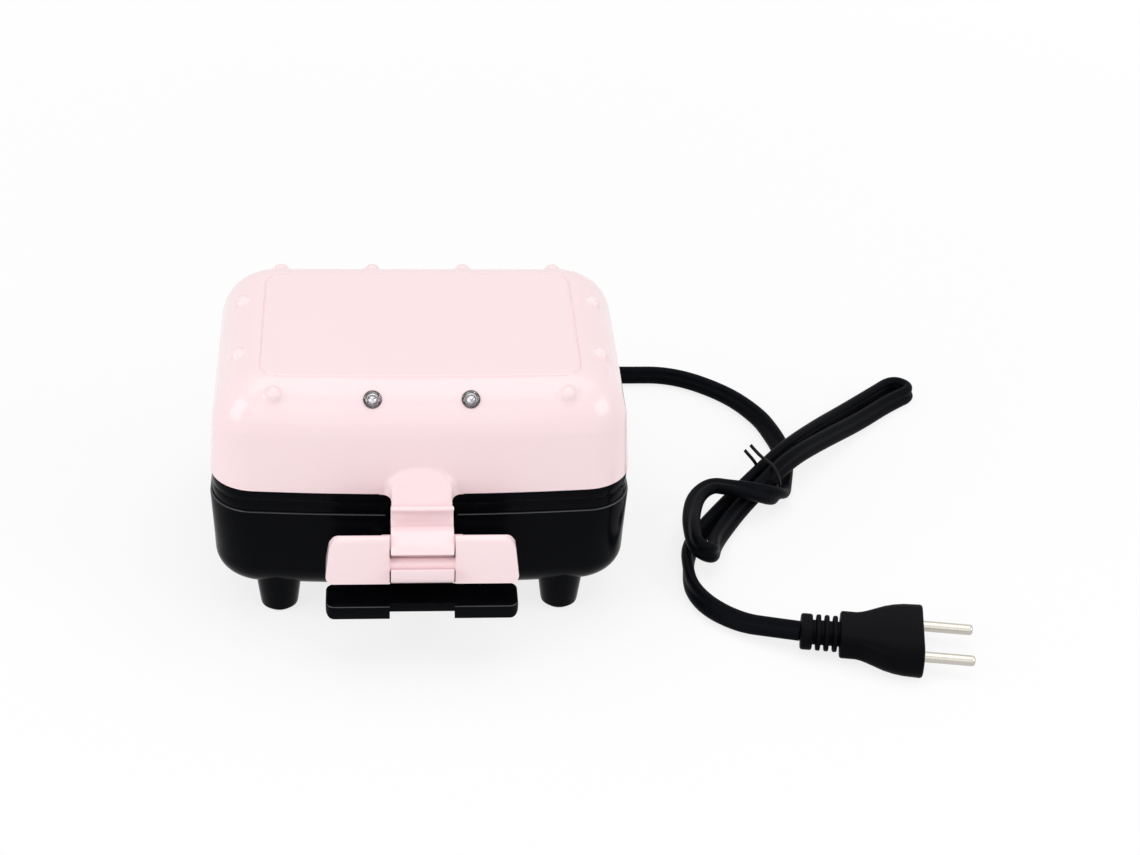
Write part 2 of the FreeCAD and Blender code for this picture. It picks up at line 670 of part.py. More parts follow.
# Lower grip: a neck in the slot of the base shell and a T-bar with a thin lip in its middle.
grip_low = GRIP_TOP_Z - GRIP_THICKNESS
neck_x = (-GRIP_NECK_HALF, GRIP_NECK_HALF)
neck_down = box(neck_x, (-CASE_FRONT - 0.4, -CASE_FRONT + 4.0), (grip_low, 50.0))
neck_out = box(neck_x, (-72.0, -CASE_FRONT + 4.0), (grip_low, GRIP_TOP_Z))
grip = box((-WING_HALF_SPAN, WING_HALF_SPAN), (GRIP_FRONT_Y, GRIP_BACK_Y), (grip_low, GRIP_TOP_Z))
grip_corners = [e for e in grip.Edges if abs(e.tangentAt(e.FirstParameter).z) > 0.9]
grip = grip.makeFillet(GRIP_CORNER, grip_corners)
grip_rims = [e for e in grip.Edges if abs(e.CenterOfMass.z - GRIP_TOP_Z) < 0.01]
grip = grip.makeFillet(1.0, grip_rims)
lip_room = box((-CLIP_HALF_WIDTH - 0.4, CLIP_HALF_WIDTH + 0.4), (GRIP_FRONT_Y - 1, GRIP_FRONT_Y + 9.0),
               (grip_low - 1, GRIP_TOP_Z - LIP_THICKNESS))
lip_front = box((-CLIP_HALF_WIDTH - 0.4, CLIP_HALF_WIDTH + 0.4),
                (GRIP_FRONT_Y - 1, GRIP_FRONT_Y + LIP_SETBACK), (grip_low - 1, GRIP_TOP_Z + 1))
grip = grip.cut(lip_room).cut(lip_front)
base_bosses = []
for x in (-BASE_SCREW_X, BASE_SCREW_X):
    for y in BASE_SCREW_Y:
        base_bosses.append(rod((x, y, 30.0), (x, y, frame_low + 0.5), 3.5))
base_frame = fuse([ring] + base_eyes + base_bosses + [neck_down, neck_out, grip])
pan_room = plate_block((PAN_HALF[0] + 0.4, PAN_HALF[1] + 0.4), 12.4, (25, frame_high + 1))
base_frame = base_frame.cut(pan_room)
for x in (-BASE_SCREW_X, BASE_SCREW_X):
    for y in BASE_SCREW_Y:
        base_frame = base_frame.cut(rod((x, y, 29), (x, y, 45), SHANK_RADIUS + SCREW_FIT))
save("base_frame", base_frame)

# Base shell: a tub with a rounded bottom, four tapered legs and a slot for the grip's neck.
base_levels = [(BASE_TOP_Z, 0.3, BASE_SPREAD[0])]
for a in range(0, 91, 10):
    turn = math.radians(a)
    base_levels.append((BOTTOM_Z + BASE_ROUND * (1 - math.sin(turn)),
                        BASE_DRAFT + BASE_ROUND * (1 - math.cos(turn)), BASE_SPREAD[1]))
base_outer = case_loft(base_levels)
base_hollow = case_loft([(z + (WALL if z < BASE_TOP_Z else 0), i, w) for z, i, w in base_levels], WALL)
leg_spots = [(s * LEG_X, y) for s in (-1, 1) for y in (LEG_FRONT_Y, LEG_BACK_Y)]
legs = []
for x, y in leg_spots:
    leg = rod((x, y, PAD_SHOWS), (x, y, 16.0), LEG_END_RADIUS, LEG_TOP_RADIUS)
    low_rim = [e for e in leg.Edges if abs(e.BoundBox.ZMax - PAD_SHOWS) < 0.01]
    leg = leg.makeFillet(1.2, low_rim)
    legs.append(leg.cut(rod((x, y, 0), (x, y, PAD_HEIGHT), PAD_RADIUS + 0.05)))
screw_posts = [rod((x, y, BOTTOM_Z), (x, y, 30.0), 4.0).common(base_outer)
               for x in (-BASE_SCREW_X, BASE_SCREW_X) for y in BASE_SCREW_Y]
shield_feet = [rod((x, y, BOTTOM_Z + 1), (x, y, BASE_REFLECTOR_Z), 4.0)
               for x in (-40, 40) for y in (-26, 24)]
base_shell = fuse([base_outer.cut(base_hollow)] + legs + screw_posts + shield_feet)
slot_half = GRIP_NECK_HALF + 0.3
slot_y = (-CASE_FRONT - 2, -CASE_FRONT + 8)
slot = box((-slot_half, slot_half), slot_y, (grip_low - 0.3, BASE_TOP_Z + 1))
base_shell = base_shell.cut(slot)
round_z = BASE_TOP_Z - SLOT_ROUND
for side in (-1, 1):
    round_x = side * (slot_half + SLOT_ROUND)
    corner = box(sorted((side * (slot_half - 1), round_x)), slot_y, (round_z, BASE_TOP_Z + 1))
    corner = corner.cut(rod((round_x, slot_y[0] - 1, round_z), (round_x, slot_y[1] + 1, round_z), SLOT_ROUND))
    base_shell = base_shell.cut(corner)
for x in (-BASE_SCREW_X, BASE_SCREW_X):
    for y in BASE_SCREW_Y:
        base_shell = base_shell.cut(rod((x, y, 10), (x, y, 31), SHANK_RADIUS + 0.1))
        base_shell = base_shell.cut(rod((x, y, 10), (x, y, 20), HEAD_RADIUS + 0.2))
gland_at = Vector(CORD_EXIT_X, 0, CORD_EXIT_Z)
up = Vector(0, 0, 1)
rearward = Vector(0, 1, 0)


def gland_block(size, y0, y1):
    """Upright flat block along the cord's way out of the case."""
    face = Part.Face(flat_section(gland_at + Vector(0, y0, 0), rearward, up, size))
    return face.extrude(Vector(0, y1 - y0, 0))


base_shell = base_shell.cut(gland_block((12.0, 8.4), 45, 60))
save("base_shell", base_shell)
gland = fuse([gland_block((11.9, 8.3), 49.5, 69.0), gland_block((15.0, 11.4), 55.15, 57.2),
              gland_block((14.0, 10.4), 48.4, 50.6)])
gland = gland.cut(flat_cord("hole in the gland", LEAD_ROUTE, (), 0.1)[0])
save("cord_gland", gland)
pads = [rod((x, y, 0), (x, y, PAD_HEIGHT), PAD_RADIUS) for x, y in leg_spots]
save("foot_pads", Part.Compound(pads))

# Hinge pin with a head at each end.
pin = fuse([
    rod((-35, HINGE_Y, HINGE_Z), (35, HINGE_Y, HINGE_Z), PIN_RADIUS),
    rod((-36.5, HINGE_Y, HINGE_Z), (-34.05, HINGE_Y, HINGE_Z), PIN_RADIUS + 1),
    rod((34.05, HINGE_Y, HINGE_Z), (36.5, HINGE_Y, HINGE_Z), PIN_RADIUS + 1),
])
save("hinge_pin", pin)

# Lower waffle plate: a pan on a flange, a field of blunt pyramids and two bosses for the clamp.
flange_top = frame_high - FLANGE_DROP
pan_low = frame_high - PAN_DEPTH - 0.2
flange = plate_block(FLANGE_HALF, 14.0, (flange_top - FLANGE_THICKNESS, flange_top))
pan = plate_block(PAN_HALF, 12.0, (pan_low, flange_top))
well_half = (PAN_HALF[0] - PAN_WALL, PAN_HALF[1] - PAN_WALL)
well = plate_block(well_half, 9.0, (pan_low + PAN_FLOOR, flange_top + 1))
floor_z = pan_low + PAN_FLOOR
bumps = []
for i in range(PYRAMIDS[0]):
    for j in range(PYRAMIDS[1]):
        x = (i - (PYRAMIDS[0] - 1) / 2) * PYRAMID_PITCH
        y = PLATE_Y + (j - (PYRAMIDS[1] - 1) / 2) * PYRAMID_PITCH
        squares = []
        ends = ((PYRAMID_FOOT / 2, floor_z - 0.5), (PYRAMID_HEAD / 2, floor_z + PYRAMID_HEIGHT))
        for half, z in ends:
            square = [Vector(x - half, y - half, z), Vector(x + half, y - half, z),
                      Vector(x + half, y + half, z), Vector(x - half, y + half, z)]
            squares.append(Part.makePolygon(square + square[:1]))
        bumps.append(Part.makeLoft(squares, True, True))
clamp_z = pan_low - 2 * HEATER_RADIUS
bosses = [rod((x, PLATE_Y, clamp_z), (x, PLATE_Y, pan_low + 1), 4.0)
          for x in (-CLAMP_BOSS_X, CLAMP_BOSS_X)]
plate = fuse([fuse([flange, pan]).cut(well)] + bumps + bosses)
for x in (-CLAMP_BOSS_X, CLAMP_BOSS_X):
    plate = plate.cut(rod((x, PLATE_Y, clamp_z - 1), (x, PLATE_Y, pan_low), SHANK_RADIUS + SCREW_FIT))
for x in (-PLATE_SCREW_X, PLATE_SCREW_X):
    for y in PLATE_SCREW_Y:
        plate = plate.cut(rod((x, y, flange_top - 5), (x, y, flange_top - 0.6), SHANK_RADIUS + SCREW_FIT))

# Heating element: a bent tube round the back of the plate, with a pin at each end.
heater_z = pan_low - HEATER_RADIUS
hx, hy = HEATER_HALF
bend = HEATER_BEND
heater_edges = []
corners = [(-HEATER_GAP, hy), (-hx, hy), (-hx, -hy), (hx, -hy), (hx, hy), (HEATER_GAP, hy)]
corners = [Vector(x, PLATE_Y + y, heater_z) for x, y in corners]
start = corners[0]
for before, corner, after in zip(corners, corners[1:], corners[2:]):
    back = (before - corner).normalize()
    ahead = (after - corner).normalize()
    first = corner + back * bend
    last = corner + ahead * bend
    middle = corner + (back + ahead) * (bend * (1 - math.sqrt(0.5)))
    heater_edges.append(Part.LineSegment(start, first).toShape())
    heater_edges.append(Part.Arc(first, middle, last).toShape())
    start = last
heater_edges.append(Part.LineSegment(start, corners[-1]).toShape())
heater_path = Part.Wire(heater_edges)
ring_start = Part.Wire(Part.makeCircle(HEATER_RADIUS, corners[0], Vector(-1, 0, 0)))
heater = heater_path.makePipeShell([ring_start], True, False)
pin_y = PLATE_Y + hy
pins = [rod((s * (HEATER_GAP + 1), pin_y, heater_z), (s * (HEATER_GAP - 6), pin_y, heater_z), 1.5)
        for s in (-1, 1)]
heater = fuse([heater] + pins)

clamp = box((-hx - 5, hx + 5), (PLATE_Y - 6, PLATE_Y + 6), (clamp_z - CLAMP_THICKNESS, clamp_z))
clamp_screws = []
for x in (-CLAMP_BOSS_X, CLAMP_BOSS_X):
    clamp = clamp.cut(rod((x, PLATE_Y, clamp_z - 5), (x, PLATE_Y, clamp_z + 1), SHANK_RADIUS + 0.1))
    low = clamp_z - CLAMP_THICKNESS
    clamp_screws.append(fuse([rod((x, PLATE_Y, low), (x, PLATE_Y, pan_low - 0.3), SHANK_RADIUS),
                              rod((x, PLATE_Y, low - 1.6), (x, PLATE_Y, low), HEAD_RADIUS)]))
plate_screws = []
for x in (-PLATE_SCREW_X, PLATE_SCREW_X):
    for y in PLATE_SCREW_Y:
        plate_screws.append(fuse([rod((x, y, frame_low), (x, y, flange_top - 0.8), SHANK_RADIUS),
                                  rod((x, y, frame_low - 1.8), (x, y, frame_low), 2.6)]))
for prefix, turn in (("lower", False), ("upper", True)):
    for node, shape in (("plate", plate), ("heater", heater), ("heater_clamp", clamp),
                        ("clamp_screws", Part.Compound(clamp_screws)),
                        ("plate_screws", Part.Compound(plate_screws))):
        save(prefix + "_" + node, flip(shape, PARTING_Z) if turn else shape)

# Screws that join each shell to its frame.
base_screws = []
lid_screws = []
for s in (-1, 1):
    for y in BASE_SCREW_Y:
        x = s * BASE_SCREW_X
        base_screws.append(fuse([rod((x, y, 20), (x, y, 44), SHANK_RADIUS),
                                 rod((x, y, 17.6), (x, y, 20), HEAD_RADIUS)]))
    for y in LID_SCREW_Y:
        x = s * LID_SCREW_X
        top = PARTING_Z + 2.4
        lid_screws.append(fuse([rod((x, y, top), (x, y, top + 15), SHANK_RADIUS),
                                rod((x, y, top - 2.0), (x, y, top), HEAD_RADIUS)]))
save("base_screws", Part.Compound(base_screws))
save("lid_screws", Part.Compound(lid_screws))

# Reflectors: sheet pans on the posts of the shells, open at the rear middle for the wires.


def reflector(z, edge):
    """Sheet with an upturned or downturned edge."""
    rx, ry = REFLECTOR_HALF
    sheet = plate_block((rx, ry), 8.0, (min(z, z + edge), max(z + SHEET, z + edge)))
    hollow_z = (z + SHEET, z + edge + 1) if edge > 0 else (z + edge - 1, z)
    sheet = sheet.cut(plate_block((rx - SHEET, ry - SHEET), 7.0, hollow_z))
    return sheet.cut(box((-13, 13), (PLATE_Y + ry - 14, PLATE_Y + ry + 5), (z - 20, z + 20)))


base_reflector = reflector(BASE_REFLECTOR_Z, 6.0)
lid_reflector = reflector(LID_REFLECTOR_Z, -4.0)
lid_reflector = lid_reflector.cut(box((-6, 6), (-40, -32), (LID_REFLECTOR_Z - 5, LID_REFLECTOR_Z + 2)))
save("base_reflector", base_reflector)
save("lid_reflector", lid_reflector)

# Thermostat on the back of the upper plate, wires to the lamp board.
upper_back = 2 * PARTING_Z - pan_low
thermostat = fuse([rod((0, -15, upper_back), (0, -15, upper_back + 6.0), 8.0),
                   rod((0, -15, upper_back + 6.0), (0, -15, upper_back + 8.0), 5.0)])
save("thermostat", thermostat)
board_back = board_spots[0] - lamp_normal * 10.6
lid_wires = []
for x in (-3.0, 3.0):
    start = Vector(x, board_back.y, board_back.z)
    lid_wires.append(tube([
        tuple(start),
        tuple(start - lamp_normal * 6.0),
        (x, board_back.y + 2.0, upper_back + 13.0),
        (x, -35.0, upper_back + 8.4),
        (x, -20.0, upper_back + 7.6),
    ], 1.0))
save("lid_wires", Part.Compound(lid_wires))

# Mains side in the base: terminal block, fuse on the reflector, wires to the element.
block = fuse([box((24, 43.5), (29, 40.5), (BOTTOM_Z + WALL + 0.2, 26.0)),
              box((36.5, 43.5), (36.5, 46.2), (25.0, 34.0))])
save("terminal_block", block)
fuse_z = BASE_REFLECTOR_Z + SHEET + 1.6
fuse_body = fuse([rod((-24, 12, fuse_z), (-10, 12, fuse_z), 1.6),
                  rod((-30, 12, fuse_z), (-4, 12, fuse_z), 0.6)])
save("thermal_fuse", fuse_body)
base_wires = []
for s, y in ((-1, 32.0), (1, 37.5)):
    base_wires.append(tube([
        (24.0, y, 20.0),
        (16.0, y, 20.0),
        (s * 6.6, y - 2.0, 22.0),
        (s * 6.6, PLATE_Y + hy + 1.0, 30.0),
        (s * 6.6, PLATE_Y + hy, heater_z - 1.6),
    ], 1.2))
save("base_wires", Part.Compound(base_wires))

# Latch clip: C-shaped hub, arm with a bulged face, concave throat and toe. Drawn in its own side
# view, u along the arm and w towards the front of the arm, then leaned back.


def clip_point(u, w):
    return pivot + arm_way * u + face_way * w


def clip_line(a, b):
    return Part.LineSegment(clip_point(*a), clip_point(*b)).toShape()


def clip_arc(a, b, c):
    return Part.Arc(clip_point(*a), clip_point(*b), clip_point(*c)).toShape()


toe_half = math.asin(3.2 / TOE_INSIDE)
toe_root = (TOE_INSIDE * math.cos(math.asin(1.2 / TOE_INSIDE)), -1.2)
toe_tip = (TOE_INSIDE * math.cos(toe_half), 3.2)
arm_edges = [
    clip_line((0.0, ARM_BACK), (TOE_OUTSIDE - 1.0, ARM_BACK)),
    clip_arc((TOE_OUTSIDE - 1.0, ARM_BACK), (TOE_OUTSIDE - 0.3, ARM_BACK + 0.3),
             (TOE_OUTSIDE, ARM_BACK + 1.0)),
    clip_line((TOE_OUTSIDE, ARM_BACK + 1.0), (TOE_OUTSIDE - 0.3, 2.6)),
    clip_arc((TOE_OUTSIDE - 0.3, 2.6), (TOE_OUTSIDE - 1.0, 3.5), toe_tip),
    clip_arc(toe_tip, (TOE_INSIDE, 0.6), toe_root),
    clip_arc(toe_root, (16.2, -2.2), (13.6, 0.6)),
    clip_arc((13.6, 0.6), (8.0, 4.9), ARM_LIP),
    clip_line(ARM_LIP, (ARM_LIP[0], 0.0)),
    clip_line((ARM_LIP[0], 0.0), (0.0, 0.0)),
    clip_line((0.0, 0.0), (0.0, ARM_BACK)),
]
arm = Part.Face(Part.Wire(arm_edges)).extrude(Vector(2 * CLIP_HALF_WIDTH, 0, 0))
arm.translate(Vector(-CLIP_HALF_WIDTH, 0, 0))
hub = rod((-CLIP_HALF_WIDTH, PIVOT_Y, PIVOT_Z), (CLIP_HALF_WIDTH, PIVOT_Y, PIVOT_Z), HUB_RADIUS)
mouth_line = ((JAW_LIP, 0), (ARM_LIP[0], 0), (ARM_LIP[0], 9), (JAW_LIP, 9), (JAW_LIP, 0))
mouth = Part.Face(Part.makePolygon([clip_point(a, b) for a, b in mouth_line]))
mouth = mouth.extrude(Vector(2 * CLIP_HALF_WIDTH, 0, 0))
mouth.translate(Vector(-CLIP_HALF_WIDTH, 0, 0))
bar_room = rod((-20, PIVOT_Y, PIVOT_Z), (20, PIVOT_Y, PIVOT_Z), BAR_RADIUS + HUB_FIT)
clip = fuse([hub, arm]).cut(mouth).cut(bar_room)
save("latch_clip", clip)

# Cord, in three stretches that meet face to face.
lead = flat_cord("cord_lead", LEAD_ROUTE)
hank = flat_cord("cord_hank", HANK_ROUTE, HANK_BREAKS)
tail = flat_cord("cord_tail", TAIL_ROUTE)
least_gap(hank[1], hank[2])
save("cord_lead", lead[0])
save("cord_hank", hank[0])
save("cord_tail", tail[0])

# Tie: a wire bent round both strands, with its two ends side by side.
tie_mid = Vector(*TIE_AT)
first, last = TIE_STRAND
run = Vector(*HANK_ROUTE[last][:3]) - Vector(*HANK_ROUTE[first][:3])
run.normalize()
across = Vector(0, 0, 1).cross(run)
across.normalize()
lift = run.cross(across)
tie_points = [tie_mid + across * a + lift * b + run * c for a, b, c in TIE_ROUTE]
tie = tube(tie_points, TIE_WIRE)
print("tie to hank", round(tie.distToShape(hank[0])[0], 2), "lowest of tie", round(tie.BoundBox.ZMin, 2))
save("cord_tie", tie)

# Plug: ribbed relief, neck, flared body with a flat face, two round pins.
plug_start = Vector(*TAIL_ROUTE[-1][:3])
plug_way = Vector(math.cos(PLUG_TURN), math.sin(PLUG_TURN), 0)
plug_side = Vector(0, 0, 1).cross(plug_way)


def plug_ring(distance, size):
    return flat_section(plug_start + plug_way * distance, plug_way, plug_side, size)


def plug_length(a, b, size):
    return Part.Face(plug_ring(a, size)).extrude(plug_way * (b - a))


rib_pitch = (RELIEF_LENGTH - 4.4) / (RELIEF_RIBS - 1)
ribs = [plug_length(0, 4.4, RIB_SIZE)]
ribs += [plug_length(4.4 + rib_pitch * k + 1.3, 4.4 + rib_pitch * (k + 1), RIB_SIZE)
         for k in range(RELIEF_RIBS - 1)]
core = plug_length(0.5, RELIEF_LENGTH + 1.5, RIB_CORE)
neck_part = plug_length(RELIEF_LENGTH + 0.8, RELIEF_LENGTH + 7.5, NECK_SIZE)
flare = Part.makeLoft([
    plug_ring(RELIEF_LENGTH + 7.0, NECK_SIZE),
    plug_ring(RELIEF_LENGTH + 14.0, (27.0, 11.5)),
    plug_ring(PLUG_LENGTH - 8.0, (FACE_SIZE[0] - 1.0, FACE_SIZE[1] - 0.3)),
    plug_ring(PLUG_LENGTH, FACE_SIZE),
], True, False)
plug = fuse(ribs + [core, neck_part, flare])
pins = []
for side in (-0.5, 0.5):
    seat = plug_start + plug_way * PLUG_LENGTH + plug_side * (side * PIN_SPACING)
    shaft = Part.makeCylinder(PLUG_PIN_RADIUS, PLUG_PIN_LENGTH, seat, plug_way)
    tip_rim = [e for e in shaft.Edges if e.Closed and (e.CenterOfMass - seat).Length > PLUG_PIN_LENGTH / 2]
    shaft = shaft.makeFillet(1.2, tip_rim)
    root = Part.makeCylinder(PLUG_PIN_ROOT, 6.0, seat - plug_way * 5.5, plug_way)
    pins.append(fuse([shaft, root]))
    plug = plug.cut(Part.makeCylinder(PLUG_PIN_ROOT, 6.0, seat - plug_way * 5.5, plug_way))
plug = plug.cut(flat_cord("hole in the plug", TAIL_ROUTE, (), 0.1)[0])
save("plug_body", plug)
save("plug_pins", Part.Compound(pins))
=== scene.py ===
import math

import bmesh
import bpy
from mathutils import Matrix, Vector


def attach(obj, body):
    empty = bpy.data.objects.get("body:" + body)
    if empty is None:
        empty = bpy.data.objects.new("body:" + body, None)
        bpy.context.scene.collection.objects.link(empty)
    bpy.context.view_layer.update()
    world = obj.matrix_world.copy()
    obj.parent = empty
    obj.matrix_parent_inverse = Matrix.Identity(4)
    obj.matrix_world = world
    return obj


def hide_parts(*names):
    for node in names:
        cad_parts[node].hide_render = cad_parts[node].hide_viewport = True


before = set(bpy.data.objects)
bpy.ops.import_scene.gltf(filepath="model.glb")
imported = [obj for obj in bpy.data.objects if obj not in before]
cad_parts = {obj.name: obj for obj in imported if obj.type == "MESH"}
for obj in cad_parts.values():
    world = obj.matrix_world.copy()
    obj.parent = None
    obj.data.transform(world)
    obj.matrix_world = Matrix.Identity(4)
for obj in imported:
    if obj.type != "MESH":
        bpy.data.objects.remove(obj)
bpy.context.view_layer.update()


# View. The eye stands in front of the grips, a little to the left, and looks down on the lid with a
# long lens. Sizes below are millimetres about the middle of the case, as the part's source has them.
case_shift = 10.8


def place(x, y, z):
    """Millimetres about the middle of the case, as metres in the frame, whose origin is further ahead."""
    return Vector((x, y + case_shift, z)) * 0.001


look_down = math.radians(32.0)
look_right = math.radians(5.47)
roll = math.radians(2.7)
eye_spot = (-17.23, -785.93, 542.82)
film_width = 36.0
focus_in_pixels = 2424.2
picture_width_in_pixels = 1140.0
forward = Vector((math.sin(look_right) * math.cos(look_down),
                  math.cos(look_right) * math.cos(look_down), -math.sin(look_down)))
level = Vector((math.cos(look_right), -math.sin(look_right), 0.0))
upright = level.cross(forward)
across_picture = level * math.cos(roll) + upright * math.sin(roll)
up_picture = upright * math.cos(roll) - level * math.sin(roll)
lens = bpy.data.cameras.new("eye")
lens.sensor_fit = "HORIZONTAL"
lens.sensor_width = film_width
lens.lens = film_width * focus_in_pixels / picture_width_in_pixels
lens.clip_start = 0.05
eye = bpy.data.objects.new("eye", lens)
bpy.context.scene.collection.objects.link(eye)
stand = Matrix((across_picture, up_picture, -forward)).transposed().to_4x4()
stand.translation = place(*eye_spot)
eye.matrix_world = stand
bpy.context.scene.camera = eye
bpy.context.scene.view_settings.view_transform = "Standard"


# Stage. A white table, a white room and four soft lamps: one overhead, one behind the eye, and one
# at each side, which give the lid its corner glints. The table is a little darker in the shade
# near the object, and white further off.
def hue(code):
    """sRGB hex as a linear colour."""
    parts = [int(code[i:i + 2], 16) / 255 for i in (1, 3, 5)]
    return tuple(p / 12.92 if p < 0.04045 else ((p + 0.055) / 1.055) ** 2.4 for p in parts) + (1.0,)


def put(tree, kind, settings=None, links=None):
    """Add a node with its settings, by socket or property name, and its links (node, output)."""
    node = tree.nodes.new(kind)
    for key, value in (settings or {}).items():
        if isinstance(key, int) or key in node.inputs:
            node.inputs[key].default_value = value
        else:
            setattr(node, key, value)
    for key, (source, output) in (links or {}).items():
        tree.links.new(source.outputs[output], node.inputs[key])
    return node


def seen_ray(tree):
    """1 for a ray from the eye, from a reflection or through a clear piece, and 0 for any other."""
    ray = put(tree, "ShaderNodeLightPath")
    direct = put(tree, "ShaderNodeMath", {"operation": "MAXIMUM"},
                 {0: (ray, "Is Camera Ray"), 1: (ray, "Is Glossy Ray")})
    return put(tree, "ShaderNodeMath", {"operation": "MAXIMUM"},
               {0: (direct, "Value"), 1: (ray, "Is Transmission Ray")})


def alone(piece=None):
    """No piece being edited, and nothing selected but this piece."""
    if bpy.context.object and bpy.context.object.mode != "OBJECT":
        bpy.ops.object.mode_set(mode="OBJECT")
    bpy.ops.object.select_all(action="DESELECT")
    if piece:
        piece.select_set(True)
        bpy.context.view_layer.objects.active = piece


alone()
bpy.ops.mesh.primitive_plane_add(size=8.0)
table_top = bpy.context.object
table_top.name = "table_top"
paper = bpy.data.materials.new("white_table")
paper.use_nodes = True
tree = paper.node_tree
tree.nodes.remove(tree.nodes["Principled BSDF"])
seen = seen_ray(tree)
matt = put(tree, "ShaderNodeBsdfDiffuse", {"Color": hue("#FAFAFA")})
glow = put(tree, "ShaderNodeEmission", {"Color": (1, 1, 1, 1), "Strength": 1.0})
ground = put(tree, "ShaderNodeTexCoord")
away = put(tree, "ShaderNodeVectorMath", {"operation": "LENGTH"}, {0: (ground, "Object")})
whiter = put(tree, "ShaderNodeMapRange", {"From Min": 0.15, "From Max": 0.7, "To Min": 0.8, "To Max": 1.0},
             {"Value": (away, "Value")})
part_glow = put(tree, "ShaderNodeMath", {"operation": "MULTIPLY"},
                {0: (seen, "Value"), 1: (whiter, "Result")})
mixed = put(tree, "ShaderNodeMixShader", {}, {"Fac": (part_glow, "Value"), 1: (matt, "BSDF"),
                                              2: (glow, "Emission")})
tree.links.new(mixed.outputs["Shader"], tree.nodes["Material Output"].inputs["Surface"])
table_top.data.materials.append(paper)

room = bpy.data.worlds.new("white_room")
room.use_nodes = True
bpy.context.scene.world = room
tree = room.node_tree
seen = seen_ray(tree)
level_of_light = put(tree, "ShaderNodeMapRange", {"To Min": 0.41, "To Max": 1.0}, {"Value": (seen, "Value")})
air = tree.nodes["Background"]
air.inputs["Color"].default_value = (1, 1, 1, 1)
tree.links.new(level_of_light.outputs["Result"], air.inputs["Strength"])

for name, spot, aim, wide, tall, power in (
        ("lamp_overhead", (0.05, 0.1, 1.3), (0.0, 0.0, 0.05), 1.5, 1.5, 8.1),
        ("lamp_front", (-0.15, -1.4, 0.8), (0.0, 0.0, 0.06), 1.0, 1.0, 1.9),
        ("lamp_left", (-1.1, -0.55, 0.66), (0.0, 0.0, 0.06), 0.8, 0.8, 5.7),
        ("lamp_right", (1.1, -0.5, 0.7), (0.02, 0.0, 0.06), 0.9, 0.5, 4.4)):
    softbox = bpy.data.lights.new(name, "AREA")
    softbox.shape = "RECTANGLE"
    softbox.size = wide
    softbox.size_y = tall
    softbox.energy = power
    lamp = bpy.data.objects.new(name, softbox)
    bpy.context.scene.collection.objects.link(lamp)
    lamp.location = spot
    lamp.rotation_euler = (Vector(aim) - Vector(spot)).to_track_quat("-Z", "Y").to_euler()


# Mains cord: flat twin cord of black PVC, 8.0 by 4.4 mm, two cores in one sheath with a groove
# between them. It leaves the rear wall, lies in a loose knotted hank and ends in the plug.
# Route: x, y, z, and how far the wide side is rolled up from the table, in degrees.
cord_route = [
    (40, 46.2, 30, 90), (40, 68, 30, 90), (42, 89, 25, 90), (52.5, 106, 13, 90), (70, 113.2, 5.4, 90),
    (90.5, 114.6, 4.3, 90), (112.4, 114.8, 4.3, 90), (133.6, 99.6, 4.3, 85), (145.6, 81.2, 4.1, 65),
    (149.9, 67.4, 3.5, 35), (152.2, 57, 2.7, 8), (152.0, 46, 2.5, 4), (149.4, 33.2, 2.5, 2),
    (147.1, 22.0, 2.9, 14), (142.1, 12.7, 8.8, 100), (131.4, 9.4, 13.8, 160), (123.4, 12.0, 13.6, 180),
    (117.0, 15.0, 12.8, 182), (110.2, 7.6, 12.4, 195), (106.8, -5, 12.6, 215), (105.6, -17.5, 13.2, 240),
    (106.0, -28.3, 12.8, 262), (113.4, -29.0, 9.6, 262), (114.8, -16.6, 6.0, 242), (121.3, -2.3, 4.4, 231),
    (130.3, 12.5, 4.7, 240), (142.4, 23.8, 10.3, 252), (153.6, 36.6, 12.0, 254), (168.4, 53.5, 9.2, 252),
    (187.9, 74.8, 4.8, 250), (204.0, 91.1, 4.3, 250), (216.3, 99.9, 4.3, 260), (208.4, 107.4, 4.3, 280),
    (198.0, 97.0, 4.3, 290), (181.8, 80.4, 5.4, 290), (166.4, 62, 9.0, 288), (151.2, 43.2, 11.5, 286),
    (138.6, 29.4, 8.6, 288), (124.9, 14.2, 4.7, 300), (113.0, -3.3, 4.3, 309), (104.8, -17.5, 4.3, 300),
    (102.9, -32, 4.4, 274), (103.2, -44, 4.2, 256), (108.8, -55.6, 3.9, 228), (119.5, -65.5, 4.2, 209),
    (130, -71, 6.2, 205), (140, -74.4, 6.9, 204),
]


def smooth_line(controls, steps):
    """Points along the smooth curve that has these points as its controls."""
    curve = bpy.data.curves.new("line", "CURVE")
    curve.dimensions = "3D"
    spline = curve.splines.new("NURBS")
    spline.points.add(len(controls) - 1)
    for spot, control in zip(spline.points, controls):
        spot.co = (*control, 1.0)
    spline.order_u = 3
    spline.use_endpoint_u = True
    spline.resolution_u = steps
    carrier = bpy.data.objects.new("line", curve)
    bpy.context.scene.collection.objects.link(carrier)
    bpy.context.view_layer.update()
    read = bpy.data.meshes.new_from_object(carrier)
    spots = [v.co.copy() for v in read.vertices]
    bpy.data.objects.remove(carrier)
    bpy.data.curves.remove(curve)
    bpy.data.meshes.remove(read)
    return spots


def way_at(line, i):
    """Direction of a line of points at one of them."""
    return (line[min(i + 1, len(line) - 1)] - line[max(i - 1, 0)]).normalized()


